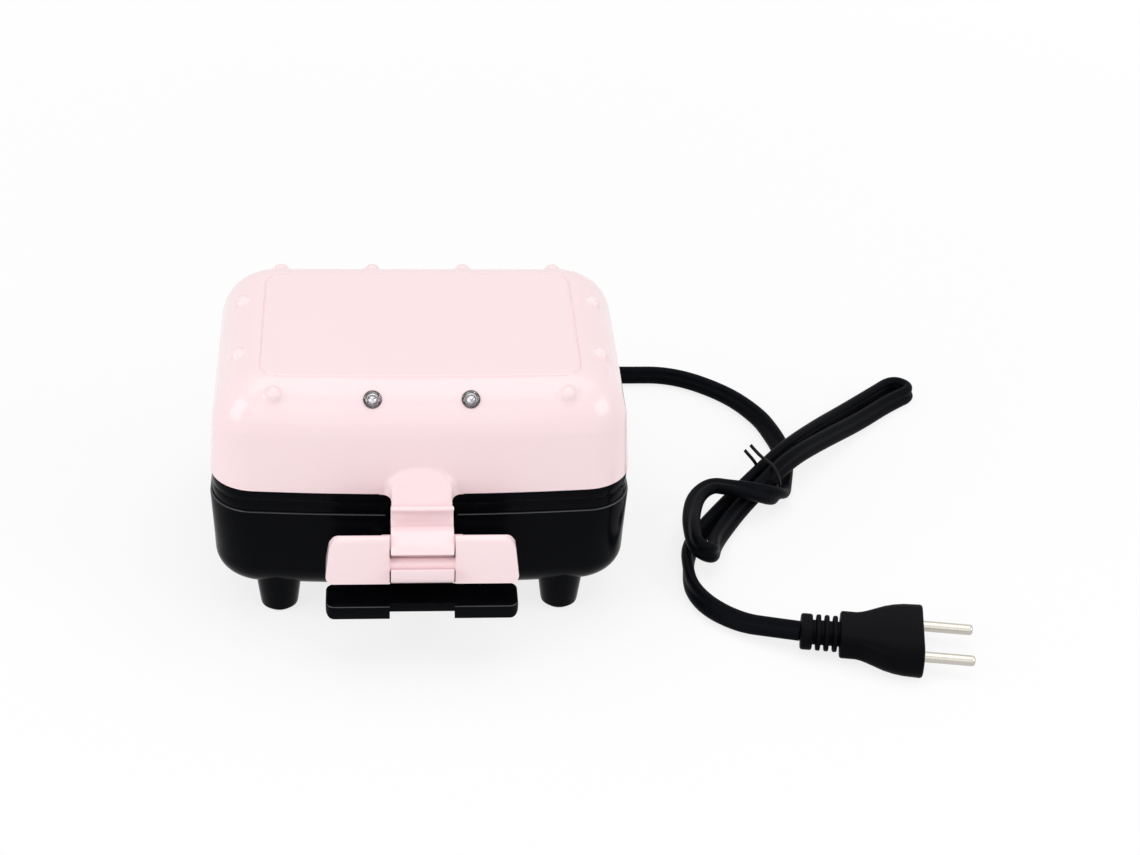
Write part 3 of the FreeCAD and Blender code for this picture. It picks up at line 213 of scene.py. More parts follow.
def sheath(name, line, wide_ways, profile, girth=0.02):
    """Tube along a line; each profile point is (wide, thin) in millimetres.

    Its UV map has the length along the line and the way round its girth, both in metres.
    """
    corners, faces, run = [], [], [0.0]
    count = len(profile)
    for i, spot in enumerate(line):
        along = way_at(line, i)
        wide = wide_ways[i] - along * wide_ways[i].dot(along)
        wide.normalize()
        thin = along.cross(wide)
        corners += [spot + (wide * w + thin * t) * 0.001 for w, t in profile]
        if i:
            run.append(run[-1] + (spot - line[i - 1]).length)
            first = (i - 1) * count
            faces += [(first + k, first + (k + 1) % count, first + count + (k + 1) % count, first + count + k)
                      for k in range(count)]
    faces += [tuple(range(count - 1, -1, -1)), tuple(range(len(corners) - count, len(corners)))]
    mesh = bpy.data.meshes.new(name)
    mesh.from_pydata(corners, [], faces)
    chart = mesh.uv_layers.new(name="length_and_girth")
    for face in mesh.polygons[:-2]:
        k = face.index % count
        for turn, loop in zip((k, k + 1, k + 1, k), face.loop_indices):
            row = mesh.loops[loop].vertex_index // count
            chart.data[loop].uv = (run[row], turn / count * girth)
    piece = bpy.data.objects.new(name, mesh)
    bpy.context.scene.collection.objects.link(piece)
    alone(piece)
    bpy.ops.object.shade_smooth_by_angle(angle=math.radians(60))
    return piece


core_off_middle, core_radius = 1.8, 2.2
side_reach = 0.003
cord_steps = 12
cord_points = [place(x, y, z) for x, y, z, _ in cord_route]
cord_sides = []
for i, row in enumerate(cord_route):
    along = way_at(cord_points, i)
    flat = Vector((0, 0, 1)).cross(along).normalized()
    rolled = math.radians(row[3])
    wide = flat * math.cos(rolled) + along.cross(flat) * math.sin(rolled)
    cord_sides.append(cord_points[i] + wide * side_reach)
cord_line = smooth_line(cord_points, cord_steps)
cord_wide = [side - spot for side, spot in zip(smooth_line(cord_sides, cord_steps), cord_line)]
core = [math.radians(a) for a in range(-80, 81, 20)]
valley = [(1.3, 2.14), (0.6, 1.9), (0.0, 1.74), (-0.6, 1.9), (-1.3, 2.14)]
cord_profile = [(core_off_middle + core_radius * math.cos(a), core_radius * math.sin(a)) for a in core]
cord_profile += valley
cord_profile += [(-w, -t) for w, t in cord_profile]
cord = sheath("mains_cord", cord_line, cord_wide, cord_profile)


def surface(name, sockets):
    """New material with constants on its shader's sockets.

    Returns the material, its shader, and the piece's coordinates as (node, output).
    """
    made = bpy.data.materials.new(name)
    made.use_nodes = True
    shader = made.node_tree.nodes["Principled BSDF"]
    for key, value in sockets.items():
        shader.inputs[key].default_value = value
    return made, shader, (put(made.node_tree, "ShaderNodeTexCoord"), "Object")


def stretch(coords, scale, turn=0.0):
    """Coordinates scaled along each axis after a turn about z, as (node, output)."""
    return put(coords[0].id_data, "ShaderNodeMapping", {"Rotation": (0, 0, turn), "Scale": scale},
               {"Vector": coords}), "Vector"


def noise(coords, scale, detail):
    """Noise with this many cells to a unit of its coordinates, as (node, output)."""
    return put(coords[0].id_data, "ShaderNodeTexNoise", {"Scale": scale, "Detail": detail},
               {"Vector": coords}), "Fac"


def vary(shader, gloss, rough, tone=None, hues=(), stops=(0.0, 1.0), relief=None, depth=None):
    """Roughness between two limits, colour between two hues and a relief, each led by a pattern.

    A pattern is a (node, output). Stops are the levels of its pattern at which each hue stands, and
    depth is the relief's strength and its height in metres.
    """
    tree = shader.id_data
    spread = put(tree, "ShaderNodeMapRange", {"To Min": rough[0], "To Max": rough[1]}, {"Value": gloss})
    tree.links.new(spread.outputs["Result"], shader.inputs["Roughness"])
    if tone:
        ramp = put(tree, "ShaderNodeValToRGB", {}, {"Fac": tone})
        for element, stop, code in zip(ramp.color_ramp.elements, stops, hues):
            element.position = stop
            element.color = hue(code)
        tree.links.new(ramp.outputs["Color"], shader.inputs["Base Color"])
    if relief:
        raised = put(tree, "ShaderNodeBump", {"Strength": depth[0], "Distance": depth[1]}, {"Height": relief})
        tree.links.new(raised.outputs["Normal"], shader.inputs["Normal"])


# Black PVC, extruded: satin, with very fine lines drawn along it by the die (0.3 mm apart) and slow
# changes of gloss from handling.
cord_pvc, shader, solid = surface("cord_black_pvc", {"Specular IOR Level": 0.03})
chart = put(shader.id_data, "ShaderNodeUVMap", {"uv_map": "length_and_girth"})
drawn = stretch((chart, "UV"), (25.0, 3300.0, 1.0))
lines = noise(drawn, 1.0, 2.0)
blotch = noise(solid, 70.0, 3.0)
vary(shader, tone=blotch, hues=("#06070B", "#0A0B10"), gloss=blotch, rough=(0.36, 0.5),
     relief=lines, depth=(0.12, 0.0001))
cord.data.materials.append(cord_pvc)
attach(cord, "base")
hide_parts("cord_lead", "cord_hank", "cord_tail")


# Cord tie: the thin black twist tie that holds the two strands of the hank where they cross, one
# turn of plastic-covered wire with both ends left standing up. Bent round the strands by hand.
tie_middle = Vector((144.2, 29.0, 9.65))
strand_way = (Vector((142.7, 23.6, 10.3)) - Vector((131.9, 11.8, 4.7))).normalized()
strand_side = Vector((0, 0, 1)).cross(strand_way).normalized()
strand_top = strand_way.cross(strand_side)
tie_route = [(10.5, 9.6, 1.2), (6.2, 5.4, 0.8), (-2.4, 7.0, -1.6), (-6.8, 5.0, -4.6), (-6.9, -0.8, -4.8),
             (-4.0, -3.4, -2.2), (3.6, -5.8, 0), (7.8, -4.8, 0), (7.6, 1.4, -0.6), (8.9, 5.0, -1.3),
             (11.6, 8.4, -1.5)]
tie_points = [place(*(tie_middle + strand_side * a + strand_top * b + strand_way * c))
              for a, b, c in tie_route]
tie_half_width, tie_half_height, tie_sides, tie_steps = 0.75, 0.5, 12, 10
tie_line = smooth_line(tie_points, tie_steps)
tie_turns = [math.tau * k / tie_sides for k in range(tie_sides)]
wire_profile = [(tie_half_width * math.cos(a), tie_half_height * math.sin(a)) for a in tie_turns]
tie = sheath("twist_tie", tie_line, [strand_way] * len(tie_line), wire_profile)

# Polyethylene ribbon on a wire: black, a little waxy, with a slow unevenness from bending (3 mm).
tie_skin, shader, solid = surface("tie_black_polyethylene", {"Specular IOR Level": 0.1})
kinks = noise(solid, 330.0, 2.0)
vary(shader, tone=kinks, hues=("#0A0A0D", "#111115"), gloss=kinks, rough=(0.35, 0.55),
     relief=kinks, depth=(0.25, 0.0002))
tie.data.materials.append(tie_skin)
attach(tie, "base")
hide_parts("cord_tie")


# Plug: black PVC moulded over the end of the cord, with a ribbed relief, a flat neck and a body
# that flares to a flat face. Its rims are eased by the mould.
def stack(name, rings, smooth=35):
    """Skin through closed rings with equal counts of points, from first to last, both ends filled."""
    alone()
    bpy.ops.mesh.primitive_circle_add(vertices=len(rings[0]), radius=0.01, fill_type="NOTHING")
    piece = bpy.context.object
    piece.name = name
    piece.data.name = name
    bpy.ops.object.mode_set(mode="EDIT")
    bpy.ops.mesh.select_all(action="SELECT")
    mesh = bmesh.from_edit_mesh(piece.data)
    turn = mesh.verts.layers.int.new("turn")
    for k, corner in enumerate(mesh.verts):
        corner[turn] = k
    for number, ring in enumerate(rings):
        if number:
            bpy.ops.mesh.extrude_edges_move()
            mesh = bmesh.from_edit_mesh(piece.data)
            turn = mesh.verts.layers.int["turn"]
        for corner in mesh.verts:
            if corner.select:
                corner.co = ring[corner[turn]]
        bmesh.update_edit_mesh(piece.data)
    bpy.ops.mesh.select_all(action="DESELECT")
    bpy.ops.mesh.select_non_manifold()
    bpy.ops.mesh.fill_holes(sides=0)
    bpy.ops.mesh.select_all(action="SELECT")
    bpy.ops.mesh.normals_make_consistent(inside=False)
    bpy.ops.object.mode_set(mode="OBJECT")
    piece.data.attributes.remove(piece.data.attributes["turn"])
    bpy.ops.object.transform_apply()
    bpy.ops.object.shade_smooth_by_angle(angle=math.radians(smooth))
    return piece


plug_start = Vector(cord_route[-1][:3])
plug_turn = math.radians(-9)
plug_way = Vector((math.cos(plug_turn), math.sin(plug_turn), 0))
plug_side = Vector((0, 0, 1)).cross(plug_way)


def flat_ring(middle, side, top, width, height, corner):
    """Rounded rectangle of points about a middle, in millimetres."""
    ring = []
    for quarter, (sx, sy) in enumerate(((1, 1), (-1, 1), (-1, -1), (1, -1))):
        for k in range(7):
            a = math.pi / 2 * (quarter + k / 6)
            ring.append(place(*(middle + side * (sx * (width / 2 - corner) + corner * math.cos(a))
                                + top * (sy * (height / 2 - corner) + corner * math.sin(a)))))
    return ring


# Distance along the plug, width, height and corner radius.
plug_steps = [(0.0, 10.0, 6.0, 2.9), (0.0, 14.6, 7.6, 3.4), (0.35, 15.7, 8.7, 3.9), (1.0, 16.0, 9.0, 4.0),
              (3.5, 16.0, 9.0, 4.0), (4.15, 15.6, 8.6, 3.8), (4.4, 14.6, 7.8, 3.4), (4.42, 11.0, 6.4, 3.0)]
rib_start, rib_pitch = 4.4, 3.1
for k in range(3):
    rib = rib_start + rib_pitch * k
    plug_steps += [(rib + 1.2, 11.0, 6.4, 3.0), (rib + 1.25, 14.8, 7.9, 3.4), (rib + 1.6, 15.9, 8.9, 3.9),
                   (rib + 2.75, 15.9, 8.9, 3.9), (rib + 3.05, 15.0, 8.1, 3.5), (rib + 3.1, 11.0, 6.4, 3.0)]
plug_steps += [(14.5, 11.0, 6.4, 3.0), (14.52, 18.4, 8.6, 2.6), (14.8, 19.6, 9.6, 2.9),
               (15.4, 20.0, 10.0, 3.0), (20.6, 20.0, 10.0, 3.0), (22.4, 21.0, 10.2, 3.2),
               (24.6, 23.2, 10.7, 3.7), (27.6, 26.9, 11.5, 4.5), (31.0, 30.7, 12.4, 5.2),
               (34.4, 33.3, 13.0, 5.7), (38.0, 34.7, 13.5, 6.0), (44.0, 35.3, 13.7, 6.1),
               (44.7, 34.9, 13.3, 6.0), (45.0, 33.9, 12.3, 5.6)]
plug = stack("plug_moulding", [flat_ring(plug_start + plug_way * d, plug_side, Vector((0, 0, 1)), w, h, c)
                               for d, w, h, c in plug_steps])

# Plasticised PVC from a spark-eroded mould: black, satin, with a fine even grain (0.25 mm).
plug_pvc, shader, solid = surface("plug_black_pvc", {"Specular IOR Level": 0.03})
grain = noise(solid, 4000.0, 1.0)
cloud = noise(solid, 90.0, 3.0)
vary(shader, tone=cloud, hues=("#050508", "#09090D"), gloss=cloud, rough=(0.38, 0.52),
     relief=grain, depth=(0.15, 0.00005))
plug.data.materials.append(plug_pvc)
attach(plug, "base")
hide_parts("plug_body")


# Plug pins: two turned brass pins with a nickel plating and rounded tips, held in the moulding.
# The drafted solids have the right shape and stay; only their finish is new.
def dress(material, *nodes):
    """The one material on CAD nodes that stay."""
    for name in nodes:
        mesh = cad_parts[name].data
        mesh.materials.clear()
        mesh.materials.append(material)


# Nickel plate on turned brass: bright warm grey, with fine rings left by the lathe (0.2 mm).
nickel, shader, solid = surface("pin_nickel_plate", {"Metallic": 1.0})
lathe = stretch(solid, (5000.0, 60.0, 60.0), -plug_turn)
rings = noise(lathe, 1.0, 2.0)
vary(shader, tone=rings, hues=("#B5B1A8", "#CFCBC2"), gloss=rings, rough=(0.16, 0.3))
dress(nickel, "plug_pins")


# Strain relief: a bush of soft PVC snapped into the rear wall of the base, with a flange outside
# and a tapered, grooved sleeve that follows the cord for some way.
def along_cord(reach):
    """Middle, wide side and thin side of the cord at a distance from its inner end, in metres."""
    gone = 0.0
    for i, spot in enumerate(cord_line[:-1]):
        step = (cord_line[i + 1] - spot).length
        if gone + step >= reach:
            way = (cord_line[i + 1] - spot).normalized()
            wide = (cord_wide[i] - way * cord_wide[i].dot(way)).normalized()
            return spot + way * (reach - gone), wide, way.cross(wide)
        gone += step


# Distance along the cord, width, height and corner radius.
bush_steps = [(2.4, 13.4, 9.8, 4.6), (2.6, 14.0, 10.4, 5.0), (4.2, 14.0, 10.4, 5.0), (4.4, 11.9, 8.3, 4.0),
              (8.7, 11.9, 8.3, 4.0), (8.75, 14.2, 10.6, 5.0), (9.1, 15.0, 11.4, 5.4), (10.3, 15.0, 11.4, 5.4),
              (10.75, 14.2, 10.6, 5.0), (10.8, 12.4, 8.8, 4.2)]
groove_start, groove_pitch, groove_taper = 13.6, 4.4, 0.32
groove_steps = [(0.0, 12.2, 8.6, 4.0), (0.3, 10.8, 7.2, 3.3), (1.5, 10.7, 7.1, 3.3), (1.8, 12.0, 8.4, 3.9)]
for k in range(4):
    groove = groove_start + groove_pitch * k
    slim = groove_taper * k
    bush_steps += [(groove + d, w - slim, h - slim, c - slim / 2) for d, w, h, c in groove_steps]
bush_steps += [(31.4, 10.6, 7.0, 3.3), (31.9, 10.0, 6.4, 3.0), (32.0, 8.6, 5.0, 2.4)]
bush_rings = []
for reach, width, height, corner in bush_steps:
    middle, wide, thin = along_cord(reach * 0.001)
    middle = middle * 1000.0 - Vector((0, case_shift, 0))
    bush_rings.append(flat_ring(middle, wide, thin, width, height, corner))
bush = stack("cord_bush", bush_rings)

# Soft PVC, moulded: the plug's satin black with its fine grain.
bush_pvc = plug_pvc.copy()
bush_pvc.name = "bush_soft_black_pvc"
bush.data.materials.append(bush_pvc)
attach(bush, "base")
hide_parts("cord_gland")


# Lid: one moulding in pink ABS. A bowed box with drafted walls, a round shoulder with ten low studs,
# a raised panel on top, and at the front an arched neck that carries two grip wings and a pivot bar.
case_half, case_front, case_back = 76.0, 58.0, 56.0
case_corner, corner_loss, least_corner = 17.0, 0.55, 4.0
front_bow, bow_half = 2.5, 59.0


def corner_at(inset, less=0.0):
    """Corner radius of the case's outline, which falls as the outline is drawn in."""
    return max(case_corner - corner_loss * inset - less, least_corner)


def case_ring(z, inset, wide=0.0, corner=None, bow=front_bow, ahead=0.0):
    """Plan outline of the case at a level: straight back and sides, round corners, bowed front.

    The sides alone stand out by wide, and the whole outline is moved ahead.
    """
    if corner is None:
        corner = corner_at(inset)
    half = case_half - inset + wide
    front = -case_front + inset - ahead
    back = case_back - inset - ahead
    tilt = 0.0
    for _ in range(4):
        chord = half - corner * (1 - math.sin(tilt))
        tilt = 2 * math.atan(bow / chord)
    side_y = front + bow + corner * math.cos(tilt)
    bulge = (chord ** 2 + bow ** 2) / (2 * bow)
    left = [(-(half - corner) * k / 6, back) for k in range(7)]
    for k in range(1, 13):
        a = math.pi / 2 * k / 12
        left.append((-half + corner - corner * math.sin(a), back - corner + corner * math.cos(a)))
    left += [(-half, back - corner + (side_y - back + corner) * k / 8) for k in range(1, 9)]
    for k in range(1, 13):
        a = (math.pi / 2 - tilt) * k / 12
        left.append((-half + corner - corner * math.cos(a), side_y - corner * math.sin(a)))
    for k in range(1, 11):
        a = tilt * (1 - k / 10)
        left.append((-bulge * math.sin(a), front + bulge - bulge * math.cos(a)))
    right = [(-x, y) for x, y in reversed(left[1:-1])]
    return [place(x, y, z) for x, y in left + right]


lid_edge_z, wall_rise, wall_draft = 57.5, 22.1, 2.9
shoulder_z, shoulder_rise, shoulder_depth = 79.6, 16.8, 15.2
shoulder_start = math.radians(15)
side_lead, edge_lead = 1.9, 0.4
crest_start, crest_loss = 60, 1.7


def shoulder(spot, wide=0.0):
    """Inset, height and outward lean of the lid's shoulder at an angle of its quarter ellipse."""
    across = (shoulder_depth + wide) / math.cos(shoulder_start)
    up = shoulder_rise / (1 - math.sin(shoulder_start))
    inset = wall_draft - wide + across * (math.cos(shoulder_start) - math.cos(spot))
    z = shoulder_z + up * (math.sin(spot) - math.sin(shoulder_start))
    return inset, z, math.atan2(math.cos(spot) / across, math.sin(spot) / up)


def crest(spot):
    """How far the upper shoulder has turned into the edge of the panel, from 0 to 1."""
    return max(0.0, (spot - math.radians(crest_start)) / math.radians(90 - crest_start)) ** 2


def shoulder_ring(spot, wall=0.0):
    """Outline of the shoulder at an angle, or of its inner face."""
    inset, z, _ = shoulder(spot)
    corner = corner_at(inset, 0.8 * wall)
    return case_ring(z - wall, inset + wall, inset - shoulder(spot, side_lead)[0], corner,
                     front_bow - crest_loss * crest(spot), crest(spot))


shell_wall = 2.6
bends = [math.radians(a) for a in [15.0, 16.5] + [19.6 + 4.6 * k for k in range(15)]]
lid_rings = [shoulder_ring(bend, shell_wall) for bend in reversed(bends[1::3])]
lid_rings += [case_ring(z, inset, edge_lead + (side_lead - edge_lead) * (z - lid_edge_z) / wall_rise)
              for z, inset in (
                  (57.9, 2.7), (57.6, 2.5), (57.5, 2.2), (57.5, 0.6), (57.6, 0.25), (57.8, 0.08),
                  (58.2, 0.09), (64.0, 0.85), (70.0, 1.64), (76.0, 2.43), (78.8, 2.8), (79.3, 2.86))]
lid_rings += [shoulder_ring(bend) for bend in bends]
lid_rings += [case_ring(z, inset, 0.0, corner, front_bow - crest_loss, 1.0) for z, inset, corner in (
    (96.37, 17.5, 8.4), (96.36, 17.85, 8.3), (96.2, 18.05, 8.2), (96.14, 18.2, 8.1), (96.22, 18.35, 8.0),
    (96.76, 18.6, 7.9), (96.86, 18.8, 7.8), (96.87, 19.4, 7.5), (96.87, 22.0, 6.5))]
lid = stack("lid_moulding", lid_rings, smooth=30)


def carve(piece, tool, kind="DIFFERENCE"):
    """Boolean of a piece by a tool, which is used up."""
    alone(piece)
    cutter = piece.modifiers.new("carve", "BOOLEAN")
    cutter.operation = kind
    cutter.solver = "EXACT"
    cutter.object = tool
    bpy.ops.object.modifier_apply(modifier="carve")
    bpy.data.objects.remove(tool)


def slab(name, corners, way):
    """Flat outline of points in millimetres, extruded by a vector."""
    alone()
    bpy.ops.mesh.primitive_circle_add(vertices=len(corners), radius=0.01, fill_type="NGON")
    piece = bpy.context.object
    piece.name = name
    piece.data.name = name
    for corner, spot in zip(piece.data.vertices, corners):
        corner.co = place(*spot)
    bpy.ops.object.mode_set(mode="EDIT")
    bpy.ops.mesh.select_all(action="SELECT")
    bpy.ops.mesh.extrude_region_move(TRANSFORM_OT_translate={"value": Vector(way) * 0.001})
    bpy.ops.mesh.select_all(action="SELECT")
    bpy.ops.mesh.normals_make_consistent(inside=False)
    bpy.ops.object.mode_set(mode="OBJECT")
    return piece


def ease(piece, width, angle=35, segments=3, slot=-1):
    """Rims rounded by a width in millimetres, in a material slot of their own, and the rest smoothed."""
    alone(piece)
    bpy.ops.object.mode_set(mode="EDIT")
    bpy.ops.mesh.select_all(action="SELECT")
    bpy.ops.mesh.remove_doubles(threshold=0.00001)
    bpy.ops.mesh.dissolve_limited(angle_limit=math.radians(0.5))
    bpy.ops.object.mode_set(mode="OBJECT")
    rims = piece.modifiers.new("rims", "BEVEL")
    rims.width = width * 0.001
    rims.segments = segments
    rims.limit_method = "ANGLE"
    rims.angle_limit = math.radians(angle)
    rims.material = slot
    bpy.ops.object.modifier_apply(modifier="rims")
    bpy.ops.object.shade_smooth_by_angle(angle=math.radians(40))


def round_ring(middle, way, radius, count=32):
    """Circle of points about a middle, across a way, in millimetres."""
    way = Vector(way).normalized()
    side = way.orthogonal().normalized()
    top = way.cross(side)
    turns = [math.tau * k / count for k in range(count)]
    return [place(*(Vector(middle) + (side * math.cos(a) + top * math.sin(a)) * radius)) for a in turns]


def turned(name, middle, way, steps, count=32, smooth=35):
    """Round piece: each step is (distance along the way, radius), in millimetres."""
    way = Vector(way).normalized()
    rings = [round_ring(Vector(middle) + way * d, way, r, count) for d, r in steps]
    return stack(name, rings, smooth)


def unite(whole, parts):
    """Parts joined to a whole, which keeps its name."""
    alone(whole)
    for part in parts:
        part.select_set(True)
    bpy.ops.object.join()


def rim_front(x):
    """How far the bowed front reaches at a place across the width."""
    return case_front - front_bow * (x / bow_half) ** 2


def lid_spot(out, along, spot):
    """Place and normal on the lid's shoulder; out is the (x, y) way that this side of the lid faces."""
    inset, z, lean = shoulder(spot, side_lead if out[0] else 0.0)
    normal = Vector((out[0] * math.sin(lean), out[1] * math.sin(lean), math.cos(lean)))
    if out[0]:
        return Vector((out[0] * (case_half - inset), along, z)), normal
    if out[1] > 0:
        return Vector((along, case_back - inset - crest(spot), z)), normal
    bow = (front_bow - crest_loss * crest(spot)) * (along / bow_half) ** 2
    return Vector((along, -case_front + bow + inset - crest(spot), z)), normal


# Radius and height of a stud, from the foot of its bell to its crown.
stud_steps = [(5.4, -1.2), (5.0, -0.06), (4.4, 0.03), (3.85, 0.13), (3.35, 0.34), (2.9, 0.7), (2.5, 1.15),
              (2.05, 1.6), (1.5, 1.95), (0.85, 2.18), (0.15, 2.26)]
stud_outer_x, stud_inner_x, stud_y = 52.5, 17.5, 19.5
stud_bend, side_stud_bend = 58, 61
stud_sides, nudge = 32, 0.01
stud_rows = [((0, 1), x, stud_bend) for x in (-stud_outer_x, -stud_inner_x, stud_inner_x, stud_outer_x)]
stud_rows += [((0, -1), x, stud_bend) for x in (-stud_outer_x, stud_outer_x)]
stud_rows += [((s, 0), y, side_stud_bend) for s in (-1, 1) for y in (-stud_y, stud_y)]
lid_parts = []
for out, along, angle in stud_rows:
    spot = math.radians(angle)
    above, below = (lid_spot(out, along, spot + way * nudge)[0] for way in (1, -1))
    rise = (above - below).length / (2 * nudge)
    stud_rings = []
    for radius, height in stud_steps:
        ring = []
        for k in range(stud_sides):
            a = math.tau * k / stud_sides
            foot, normal = lid_spot(out, along + radius * math.cos(a), spot + radius * math.sin(a) / rise)
            ring.append(place(*(foot + normal * height)))
        stud_rings.append(ring)
    lid_parts.append(stack("stud", stud_rings, smooth=80))

lean = math.radians(34.0)
arm_way = Vector((0, math.sin(lean), math.cos(lean)))
face_way = Vector((0, -math.cos(lean), math.sin(lean)))
pivot = Vector((0, -80.0, 42.4))
neck_foot = pivot + face_way * -4.9
neck_back = pivot + face_way * -9.5
neck_half, neck_top, neck_round = 10.9, 57.6, 1.2
root_y = -58.6
root_z = neck_back.z + (root_y - neck_back.y) / math.tan(lean)
plate_top = neck_foot.y + (neck_top - neck_foot.z) * math.tan(lean)
neck_side = [(neck_foot.y, neck_foot.z), (plate_top, neck_top), (root_y, neck_top), (root_y, root_z),
             (neck_back.y, neck_back.z)]
neck = slab("neck", [(-neck_half, y, z) for y, z in neck_side], (2 * neck_half, 0, 0))
ease(neck, neck_round, angle=30)
room_half, room_radius = 11.65, 7.0
room_steps = [(0, room_radius), (2 * room_half, room_radius)]
hub_room = [pivot - Vector((room_half, 0, 0)), (1, 0, 0), room_steps, 48]
carve(neck, turned("hub_room", *hub_room))
lid_parts.append(neck)

# The neck's face rises from the wall in an arch. Its rim is rounded, and a flare runs out at its foot.
arch_top, arch_rise = 67.6, 8.0
flare_width, rim_share = 3.4, 0.75
soft_rise, flare_sunk, flare_root = 0.8, 0.06, 1.6
row_step, column_step = 0.4, 0.36
flare_rings = []
for row in range(40):
    z = lid_edge_z + row_step * row
    front_row, back_row = [], []
    for k in range(-42, 43):
        x = column_step * k
        wall = -rim_front(x) + wall_draft * (z - lid_edge_z) / wall_rise
        proud = wall - (neck_foot.y + (z - neck_foot.z) * math.tan(lean))
        proud = (proud + math.sqrt(proud ** 2 + soft_rise ** 2)) / 2
        fallen = (arch_top - z) / math.cos(lean)
        if fallen < arch_rise:
            up = (arch_rise - fallen) / arch_rise
            turn = max(math.hypot(x / neck_half, up), 0.001)
            beyond = (turn - 1) * (neck_half - (neck_half - arch_rise) * (up / turn) ** 2)
        else:
            beyond = abs(x) - neck_half
        if beyond < 0.0:
            share = rim_share + (1 - rim_share) * math.sqrt(1 - max(beyond / neck_round + 1, 0.0) ** 2)
        else:
            share = rim_share * (1 - math.sqrt(1 - max(1 - beyond / flare_width, 0.0) ** 2))
        front_row.append(place(x, wall + flare_sunk - proud * share, z))
        back_row.append(place(x, wall + flare_root, z))
    flare_rings.append(front_row + back_row[::-1])
lid_parts.append(stack("neck_flare", flare_rings, smooth=60))

web_half, web_front, web_rear = 14.7, 6.0, 5.0
web_side = [(neck_foot.y, neck_foot.z), (neck_foot.y + web_front, neck_foot.z + web_front / math.tan(lean)),
            (neck_back.y + web_rear, neck_back.z + web_rear / math.tan(lean)), (neck_back.y, neck_back.z)]
web = slab("web", [(-web_half, y, z) for y, z in web_side], (2 * web_half, 0, 0))
ease(web, 0.4)
carve(web, turned("hub_room", *hub_room))
lid_parts.append(web)

wing_low, wing_root, wing_length, wing_inner = 37.0, 6.0, 29.2, 11.7
crown_y, crown_z, crown_radius = -79.0, 51.95, 2.0
view_y, view_depth = -95.0, 40
wing_side = [(-84.5, wing_low)]
for angle in range(168, -17, -23):
    a = math.radians(angle)
    wing_side.append((crown_y + crown_radius * math.cos(a), crown_z + crown_radius * math.sin(a)))
wing_side += [(-73.5, 45.6), (-71.2, wing_low)]
front_view = [(5.0, wing_low), (5.0, 54.0)]
for radius, mid_x, mid_z, first in ((5.4, 27.8, 48.6, 90), (2.8, 31.5, 39.8, 0)):
    for k in range(10):
        a = math.radians(first - 10 * k)
        front_view.append((mid_x + radius * math.cos(a), mid_z + radius * math.sin(a)))
for s in (-1, 1):
    wing = slab("wing", [(s * wing_root, y, z) for y, z in wing_side], (s * wing_length, 0, 0))
    view_corners = [(s * x, view_y, z) for x, z in front_view]
    carve(wing, slab("wing_view", view_corners, (0, view_depth, 0)), "INTERSECT")
    ease(wing, 1.9, angle=30, segments=5)
    inner_end = [(s * x, view_y, z) for x, z in ((0, 30), (wing_inner, 30), (wing_inner, 60), (0, 60))]
    carve(wing, slab("inner_end", inner_end, (0, view_depth, 0)))
    ease(wing, 0.4, angle=50, segments=2)
    lid_parts.append(wing)
bar_half, bar_radius = 12.7, 2.5
bar_steps = [(0, bar_radius), (2 * bar_half, bar_radius)]
lid_parts.append(turned("bar", pivot - Vector((bar_half, 0, 0)), (1, 0, 0), bar_steps, count=40))

lamp_hole = 3.38
hole_steps = [(0, lamp_hole), (9, lamp_hole)]
lamp_inset, lamp_z, lamp_lean = shoulder(math.radians(54.5))
lamp_normal = Vector((0, -math.sin(lamp_lean), math.cos(lamp_lean)))
lamp_spots = [Vector((x, -rim_front(x) + lamp_inset, lamp_z)) for x in (-stud_inner_x, stud_inner_x)]
for spot in lamp_spots:
    carve(lid, turned("lamp_hole", spot - lamp_normal * 5, lamp_normal, hole_steps, count=40))
unite(lid, lid_parts)
bpy.ops.object.shade_smooth_by_angle(angle=math.radians(32))

# Pink ABS from a polished mould: pale, glossy, with the faint waviness of a large moulding (9 mm) and
# a slow drift of tone (55 mm).
pink_abs, shader, solid = surface("pink_abs", {"Specular IOR Level": 0.42, "IOR": 1.53})
drift = noise(solid, 18.0, 2.0)
fine = noise(solid, 900.0, 2.0)
wave = noise(solid, 110.0, 1.0)
vary(shader, tone=drift, hues=("#F8DEE1", "#FBE4E7"), gloss=fine, rough=(0.12, 0.2),
     relief=wave, depth=(0.06, 0.0004))
lid.data.materials.clear()
lid.data.materials.append(pink_abs)
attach(lid, "lid")
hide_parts("lid_shell")


# Lamp windows: two clear polycarbonate caps pressed into the shoulder of the lid. A small silvered lamp
# stands in the hollow of each, and shows through as a bright core in a dark ring.
lens_steps = [(0.4, 0.15), (0.32, 0.8), (0.05, 1.5), (-0.4, 2.0), (-1.0, 2.25), (-3.4, 2.3), (-3.55, 2.4),
              (-3.6, 3.1), (-3.5, 3.25), (-3.2, 3.3), (0.25, 3.3), (0.55, 3.15), (0.95, 2.7), (1.25, 2.0),
              (1.45, 1.1), (1.52, 0.2)]
lamp_steps = [(-9.0, 2.3), (-6.4, 2.4), (-6.3, 1.9), (-1.9, 1.85), (-1.2, 1.7), (-0.7, 1.35), (-0.35, 0.8),
              (-0.25, 0.15)]
windows = [turned("window", spot, lamp_normal, lens_steps, count=40, smooth=50) for spot in lamp_spots]
lamps = [turned("lamp", spot, lamp_normal, lamp_steps, smooth=50) for spot in lamp_spots]
for group, name in ((windows, "lamp_windows"), (lamps, "lamp_bulbs")):
    unite(group[0], group[1:])
    group[0].name = name
    group[0].data.name = name

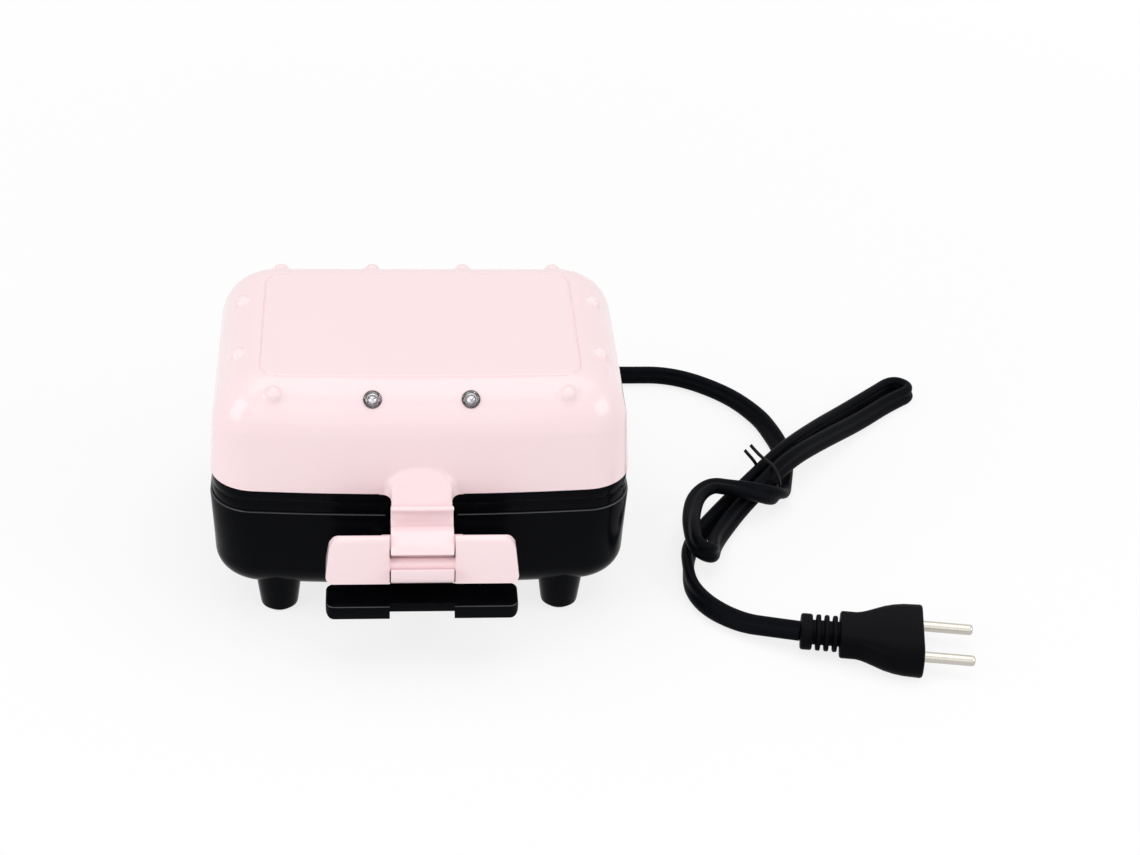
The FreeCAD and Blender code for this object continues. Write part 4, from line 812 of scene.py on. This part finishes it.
# Clear polycarbonate, polished: glass-like, with faint flow lines inside (1.5 mm).
clear_pc, shader, solid = surface("clear_polycarbonate", {
    "Transmission Weight": 1.0, "IOR": 1.585, "Base Color": hue("#F2F2F4")})
flow = noise(solid, 650.0, 1.0)
vary(shader, gloss=flow, rough=(0.02, 0.1), relief=flow, depth=(0.3, 0.0003))
windows[0].data.materials.append(clear_pc)
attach(windows[0], "lid")
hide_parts("indicator_lenses")

# Lamp glass, silvered inside: bright, with dark streaks where the silver is thin (1.2 mm).
silvered, shader, solid = surface("silvered_lamp", {"Metallic": 0.6})
speck = noise(solid, 830.0, 2.0)
vary(shader, tone=speck, hues=("#4A4350", "#F8F4F8"), stops=(0.3, 0.44), gloss=speck, rough=(0.2, 0.45))
lamps[0].data.materials.append(silvered)
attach(lamps[0], "lid")
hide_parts("indicator_lamps")


# Latch: a pink ABS clip with a C-shaped hub snapped round the pivot bar, an arm with a hollow thumb
# rest, and a toe that catches under the lower grip. One moulding with lightly eased rims.
def arc_points(first, middle, last, count):
    """Points on the arc through three (u, w) places, without the first one."""
    (ax, ay), (bx, by), (cx, cy) = first, middle, last
    a_square, b_square, c_square = ax * ax + ay * ay, bx * bx + by * by, cx * cx + cy * cy
    d = 2 * (ax * (by - cy) + bx * (cy - ay) + cx * (ay - by))
    mx = (a_square * (by - cy) + b_square * (cy - ay) + c_square * (ay - by)) / d
    my = (a_square * (cx - bx) + b_square * (ax - cx) + c_square * (bx - ax)) / d
    radius = math.hypot(ax - mx, ay - my)
    start = math.atan2(ay - my, ax - mx)
    via = (math.atan2(by - my, bx - mx) - start) % math.tau
    sweep = (math.atan2(cy - my, cx - mx) - start) % math.tau
    if via > sweep:
        sweep -= math.tau
    angles = [start + sweep * k / count for k in range(1, count + 1)]
    return [(mx + radius * math.cos(a), my + radius * math.sin(a)) for a in angles]


clip_half, hub_bore, hub_radius = 11.2, 2.58, 6.6
catch_reach, toe_high, toe_low = 19.1, 3.2, 1.2
toe_tip = (catch_reach * math.cos(math.asin(toe_high / catch_reach)), toe_high)
toe_root = (catch_reach * math.cos(math.asin(toe_low / catch_reach)), -toe_low)
clip_side = [(3.3, 5.78), (3.3, 0.0), (hub_bore, 0.0)]
clip_side += arc_points((hub_bore, 0.0), (0.0, -hub_bore), (-1.7, 1.941), 20)
clip_side += [(-1.7, 6.377)]
clip_side += arc_points((-1.7, 6.377), (-hub_radius, 0.0), (0.0, -hub_radius), 24)
clip_side += arc_points((0.0, -hub_radius), (2.5, -6.108), (4.733, -4.6), 6)
clip_side += [(19.9, -4.6)]
clip_side += arc_points((19.9, -4.6), (20.6, -4.3), (20.9, -3.6), 4)
clip_side += [(20.6, 2.6)]
clip_side += arc_points((20.6, 2.6), (19.9, 3.5), toe_tip, 4)
clip_side += arc_points(toe_tip, (catch_reach, 0.6), toe_root, 4)
clip_side += arc_points(toe_root, (16.2, -2.2), (13.6, 0.6), 14)
clip_side += arc_points((13.6, 0.6), (8.0, 4.9), (3.3, 5.78), 14)[:-1]
clip_corners = [pivot + arm_way * u + face_way * w - Vector((clip_half, 0, 0)) for u, w in clip_side]
clip = slab("latch_moulding", clip_corners, (2 * clip_half, 0, 0))
ease(clip, 0.4, angle=50)
clip.data.materials.append(pink_abs)
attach(clip, "latch")
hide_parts("latch_clip")


# Base tub: black ABS, drafted walls, a wide round at the bottom, a slot in the front for the grip's
# neck, four tapered feet and four deep screw holes. One moulding.

# Black ABS from a polished mould: deep black with a blue cast, glossy, slightly wavy (12 mm), with
# fine wipe marks (0.6 mm wide) that break up its reflections.
black_abs, shader, solid = surface("black_abs", {"Specular IOR Level": 0.03, "IOR": 1.53})
cloud = noise(solid, 40.0, 3.0)
wiped = stretch(solid, (120.0, 120.0, 1600.0))
marks = noise(wiped, 1.0, 3.0)
wave = noise(solid, 80.0, 1.0)
vary(shader, tone=cloud, hues=("#050609", "#090A0E"), gloss=marks, rough=(0.14, 0.26),
     relief=wave, depth=(0.06, 0.0004))

# The same ABS on the rims, glossier, and painted paler so that they show as thin light lines: a painted
# highlight along the edges.
painted_highlight_abs = black_abs.copy()
painted_highlight_abs.name = "black_abs_painted_rim_highlight"
painted_highlight_abs.node_tree.nodes["Principled BSDF"].inputs["Specular IOR Level"].default_value = 0.5
# Painted highlight: grey hues in place of the black, so the rims read as lit lines.
wear_and_painted_highlight = painted_highlight_abs.node_tree.nodes["Color Ramp"].color_ramp
wear_and_painted_highlight.elements[0].color = hue("#1C1D21")
wear_and_painted_highlight.elements[1].color = hue("#33343A")

tub_top, tub_bottom, tub_round, tub_draft = 48.5, 11.0, 13.0, 1.7
rim_lead, low_lead = 1.2, 1.5
lead_drop = tub_top - tub_bottom - tub_round
tub_levels = []
for angle in range(0, 91, 6):
    a = math.radians(angle)
    tub_levels.append((tub_bottom + tub_round * (1 - math.sin(a)), tub_draft + tub_round * (1 - math.cos(a))))
tub_rings = [case_ring(z + shell_wall, inset + shell_wall, low_lead, corner_at(inset, 2.1))
             for z, inset in reversed(tub_levels[::3])]
tub_rings += [case_ring(z, inset, rim_lead + (low_lead - rim_lead) * (tub_top - z) / lead_drop)
              for z, inset in (
                  (48.3, 2.9), (48.45, 2.75), (48.5, 2.5), (48.5, 0.95), (48.42, 0.6), (48.2, 0.38),
                  (47.8, 0.32), (42.0, 0.69), (36.0, 1.04), (30.0, 1.4))]
tub_rings += [case_ring(z, inset, low_lead) for z, inset in tub_levels]
tub = stack("base_moulding", tub_rings, smooth=30)
slot_half, slot_low, slot_round = 11.6, 21.9, 2.5
slot_side = [(slot_half, slot_low)]
for angle in range(0, 91, 15):
    a = math.radians(angle)
    slot_side.append((slot_half + slot_round * (1 - math.cos(a)),
                      tub_top - slot_round + slot_round * math.sin(a)))
slot_side.append((slot_half + slot_round + 0.5, tub_top + slot_round))
slot_view = slot_side + [(-x, z) for x, z in reversed(slot_side)]
carve(tub, slab("grip_slot", [(x, -62.0, z) for x, z in slot_view], (0, 12.0, 0)))
screw_x, screw_rows, screw_hole = 64.5, (-43.0, 41.0), 3.2
hole_steps = [(0, screw_hole), (12.0, screw_hole)]
for x in (-screw_x, screw_x):
    for y in screw_rows:
        carve(tub, turned("screw_hole", (x, y, 8.0), (0, 0, 1), hole_steps, count=28))
for material in (black_abs, painted_highlight_abs):
    tub.data.materials.append(material)
# The rounded rims take the second material, with its painted highlight.
ease(tub, 0.45, angle=50, segments=2, slot=1)
# The rounded outer edge of the wall's top, between two heights in metres, gets the painted highlight as well.
rim_low, rim_high = 0.0482, 0.04849
for face in tub.data.polygons:
    if rim_low < face.center.z < rim_high:
        face.material_index = 1
foot_x, foot_rows = 52.5, (-43.7, 40.5)
foot_steps = [(21.0, 9.6), (15.0, 8.75), (11.6, 8.2), (2.2, 7.0), (1.4, 6.8), (0.95, 6.3), (0.8, 5.5)]
feet = []
for x in (-foot_x, foot_x):
    for y in foot_rows:
        feet.append(turned("foot", (x, y, 0), (0, 0, 1), foot_steps, count=48))
        feet[-1].data.materials.append(black_abs)
unite(tub, feet)
bpy.ops.object.shade_smooth_by_angle(angle=math.radians(32))
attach(tub, "base")
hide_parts("base_shell")


# Frames: the two black rings that hold the waffle plates, each with its hinge eyes; the lower one
# also has the neck and the T-shaped grip. Their drafted solids are kept, with all rims eased.
def soften(node, name, width, *materials):
    """Copy of a drafted solid with its triangles merged and its rims rounded, in the last material."""
    piece = bpy.data.objects.new(name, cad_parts[node].data.copy())
    piece.data.name = name
    piece.data.materials.clear()
    bpy.context.scene.collection.objects.link(piece)
    for material in materials:
        piece.data.materials.append(material)
    ease(piece, width, angle=40, segments=2, slot=len(materials) - 1)
    return piece


# Faces that slope up at about 45 degrees, by the height of their normal, get the same painted highlight as
# the rims, as if lit from above.
slope_least, slope_most = 0.66, 0.82
grip_half, grip_low, grip_round = 34.5, 22.2, 2.6
grip_corner = [(grip_half + 1.5, grip_low - 1.2)]
for angle in range(0, 91, 15):
    a = math.radians(angle)
    grip_corner.append((grip_half - grip_round + grip_round * math.sin(a),
                        grip_low + grip_round - grip_round * math.cos(a)))
for node, body in (("lid_frame", "lid"), ("base_frame", "base")):
    # Its rounded rims take the last material, the painted highlight.
    ring = soften(node, node.replace("frame", "ring"), 0.5, black_abs, painted_highlight_abs)
    for face in ring.data.polygons:
        if slope_least < face.normal.z < slope_most:
            face.material_index = 1
    if body == "base":
        for s in (-1, 1):
            carve(ring, slab("corner_round", [(s * x, -90.0, z) for x, z in grip_corner], (0, 26.0, 0)))
    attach(ring, body)
    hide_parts(node)


# Waffle plates: die-cast aluminium pans with a field of blunt pyramids, held by their flanges in the
# frames. The drafted solids are kept with their rims rounded, as a casting and its coat have them.

# Non-stick coat: near-black grey, satin, with a fine spatter (0.5 mm) and paler worn patches (12 mm).
coat, shader, solid = surface("non_stick_coat", {"Specular IOR Level": 0.35})
wear_and_painted_highlight = noise(solid, 80.0, 4.0)
spatter = noise(solid, 2000.0, 2.0)
vary(shader, tone=wear_and_painted_highlight, hues=("#1B1B1D", "#2C2B2C"), gloss=spatter, rough=(0.36, 0.56),
     relief=spatter, depth=(0.2, 0.00008))
for node, body in (("lower_plate", "base"), ("upper_plate", "lid")):
    plate = soften(node, node.replace("plate", "waffle_plate"), 0.5, coat)
    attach(plate, body)
    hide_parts(node)


# Foot pads: four discs of soft black rubber, pressed into the ends of the legs. Their drafted solids
# stay. Rubber: dull, greyed by dust, with a fine grain (0.4 mm).
rubber, shader, solid = surface("foot_rubber", {"Specular IOR Level": 0.15})
dust = noise(solid, 300.0, 4.0)
grain = noise(solid, 2500.0, 1.0)
vary(shader, tone=dust, hues=("#141416", "#232325"), gloss=dust, rough=(0.65, 0.85),
     relief=grain, depth=(0.3, 0.0001))
dress(rubber, "foot_pads")


# Hinge pin and screws: turned steel with a bright zinc plate. The pin is headed at both ends through the
# hinge eyes; the screws join shells, frames, plates and clamps. The drafted solids stay, but the screws
# that are seen, in the lid's frame and under the base, get eased heads with cross recesses.

# Zinc plate: blue-grey metal with faint turning rings (0.3 mm) and a mottled gloss.
zinc, shader, solid = surface("zinc_plated_steel", {"Metallic": 1.0})
mottle = noise(solid, 500.0, 3.0)
turning = noise(solid, 3300.0, 1.0)
vary(shader, tone=mottle, hues=("#9DA2A8", "#BFC3C7"), gloss=mottle, rough=(0.24, 0.42),
     relief=turning, depth=(0.15, 0.00005))
dress(zinc, "hinge_pin", "lower_plate_screws", "upper_plate_screws",
      "lower_clamp_screws", "upper_clamp_screws")
recess_reach, recess_half = 2.1, 0.45
cross = [(recess_reach, recess_half), (recess_half, recess_half), (recess_half, recess_reach)]
cross += [(-u, v) for u, v in reversed(cross)]
cross += [(-u, -v) for u, v in cross]
for node, body, head_x, head_rows, head_z in (("lid_screws", "lid", 66.0, (-46.5, 44.5), 53.4),
                                              ("base_screws", "base", screw_x, screw_rows, 17.6)):
    screws = soften(node, node.replace("screws", "cross_screws"), 0.5, zinc)
    for x in (-head_x, head_x):
        for y in head_rows:
            carve(screws, slab("cross", [(x + u, y + v, head_z - 1.0) for u, v in cross], (0, 0, 2.2)))
    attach(screws, body)
    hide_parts(node)


# Heating elements: bent steel tubes with a pin at each end, pressed on the backs of the plates. Their
# drafted solids stay. Steel that has been hot: dull brown-grey with straw and blue patches (15 mm).
hot_steel, shader, solid = surface("heat_tinted_steel", {"Metallic": 1.0})
patches = noise(solid, 66.0, 3.0)
vary(shader, tone=patches, hues=("#6B6253", "#6E7280"), gloss=patches, rough=(0.38, 0.55))
dress(hot_steel, "lower_heater", "upper_heater")


# Reflectors and heater clamps: pressed aluminium sheet, 1.0 and 1.2 mm thick, held by posts and screws
# behind the elements. Their drafted solids stay. Mill finish: pale grey with rolling lines along x (0.5 mm).
sheet_metal, shader, solid = surface("mill_aluminium_sheet", {"Metallic": 1.0})
rolled = stretch(solid, (40.0, 2000.0, 2000.0))
lines = noise(rolled, 1.0, 2.0)
vary(shader, tone=lines, hues=("#B9BABC", "#D2D3D4"), gloss=lines, rough=(0.28, 0.45))
dress(sheet_metal, "base_reflector", "lid_reflector", "lower_heater_clamp", "upper_heater_clamp")


# Thermostat, terminal block and thermal fuse: bodies of unglazed steatite on the plate, in the base and
# on the reflector. Their drafted solids stay. Steatite: cream white, dull, finely porous (0.6 mm).
steatite, shader, solid = surface("cream_steatite", {"Specular IOR Level": 0.25})
pores = noise(solid, 1600.0, 3.0)
vary(shader, tone=pores, hues=("#D9D3C4", "#EAE6DA"), gloss=pores, rough=(0.6, 0.8),
     relief=pores, depth=(0.25, 0.0001))
dress(steatite, "thermostat", "terminal_block", "thermal_fuse")


# Inner wires: stranded wire in braided glass sleeves, from the lamp board to the thermostat and from the
# terminal block to the element. Their drafted solids stay. Braid: off-white checks, 0.8 mm apart.
braid, shader, solid = surface("glass_braid_sleeve", {"Specular IOR Level": 0.2})
weave = (put(shader.id_data, "ShaderNodeTexVoronoi", {"Scale": 1250.0}, {"Vector": solid}), "Distance")
vary(shader, tone=weave, hues=("#E4DFCF", "#B8B19C"), gloss=weave, rough=(0.6, 0.85),
     relief=weave, depth=(0.4, 0.0002))
dress(braid, "lid_wires", "base_wires")


# Lamp board: a strip of paper laminate on two posts under the shoulder of the lid, with the lamps on it.
# Its drafted solid stays. Laminate: tan, with long fibres along x (2 mm by 0.2 mm).
laminate, shader, solid = surface("tan_paper_laminate", {"Specular IOR Level": 0.35})
pulled = stretch(solid, (500.0, 5000.0, 5000.0))
fibres = noise(pulled, 1.0, 3.0)
vary(shader, tone=fibres, hues=("#9C7F4A", "#BFA368"), gloss=fibres, rough=(0.4, 0.6))
dress(laminate, "lamp_board")
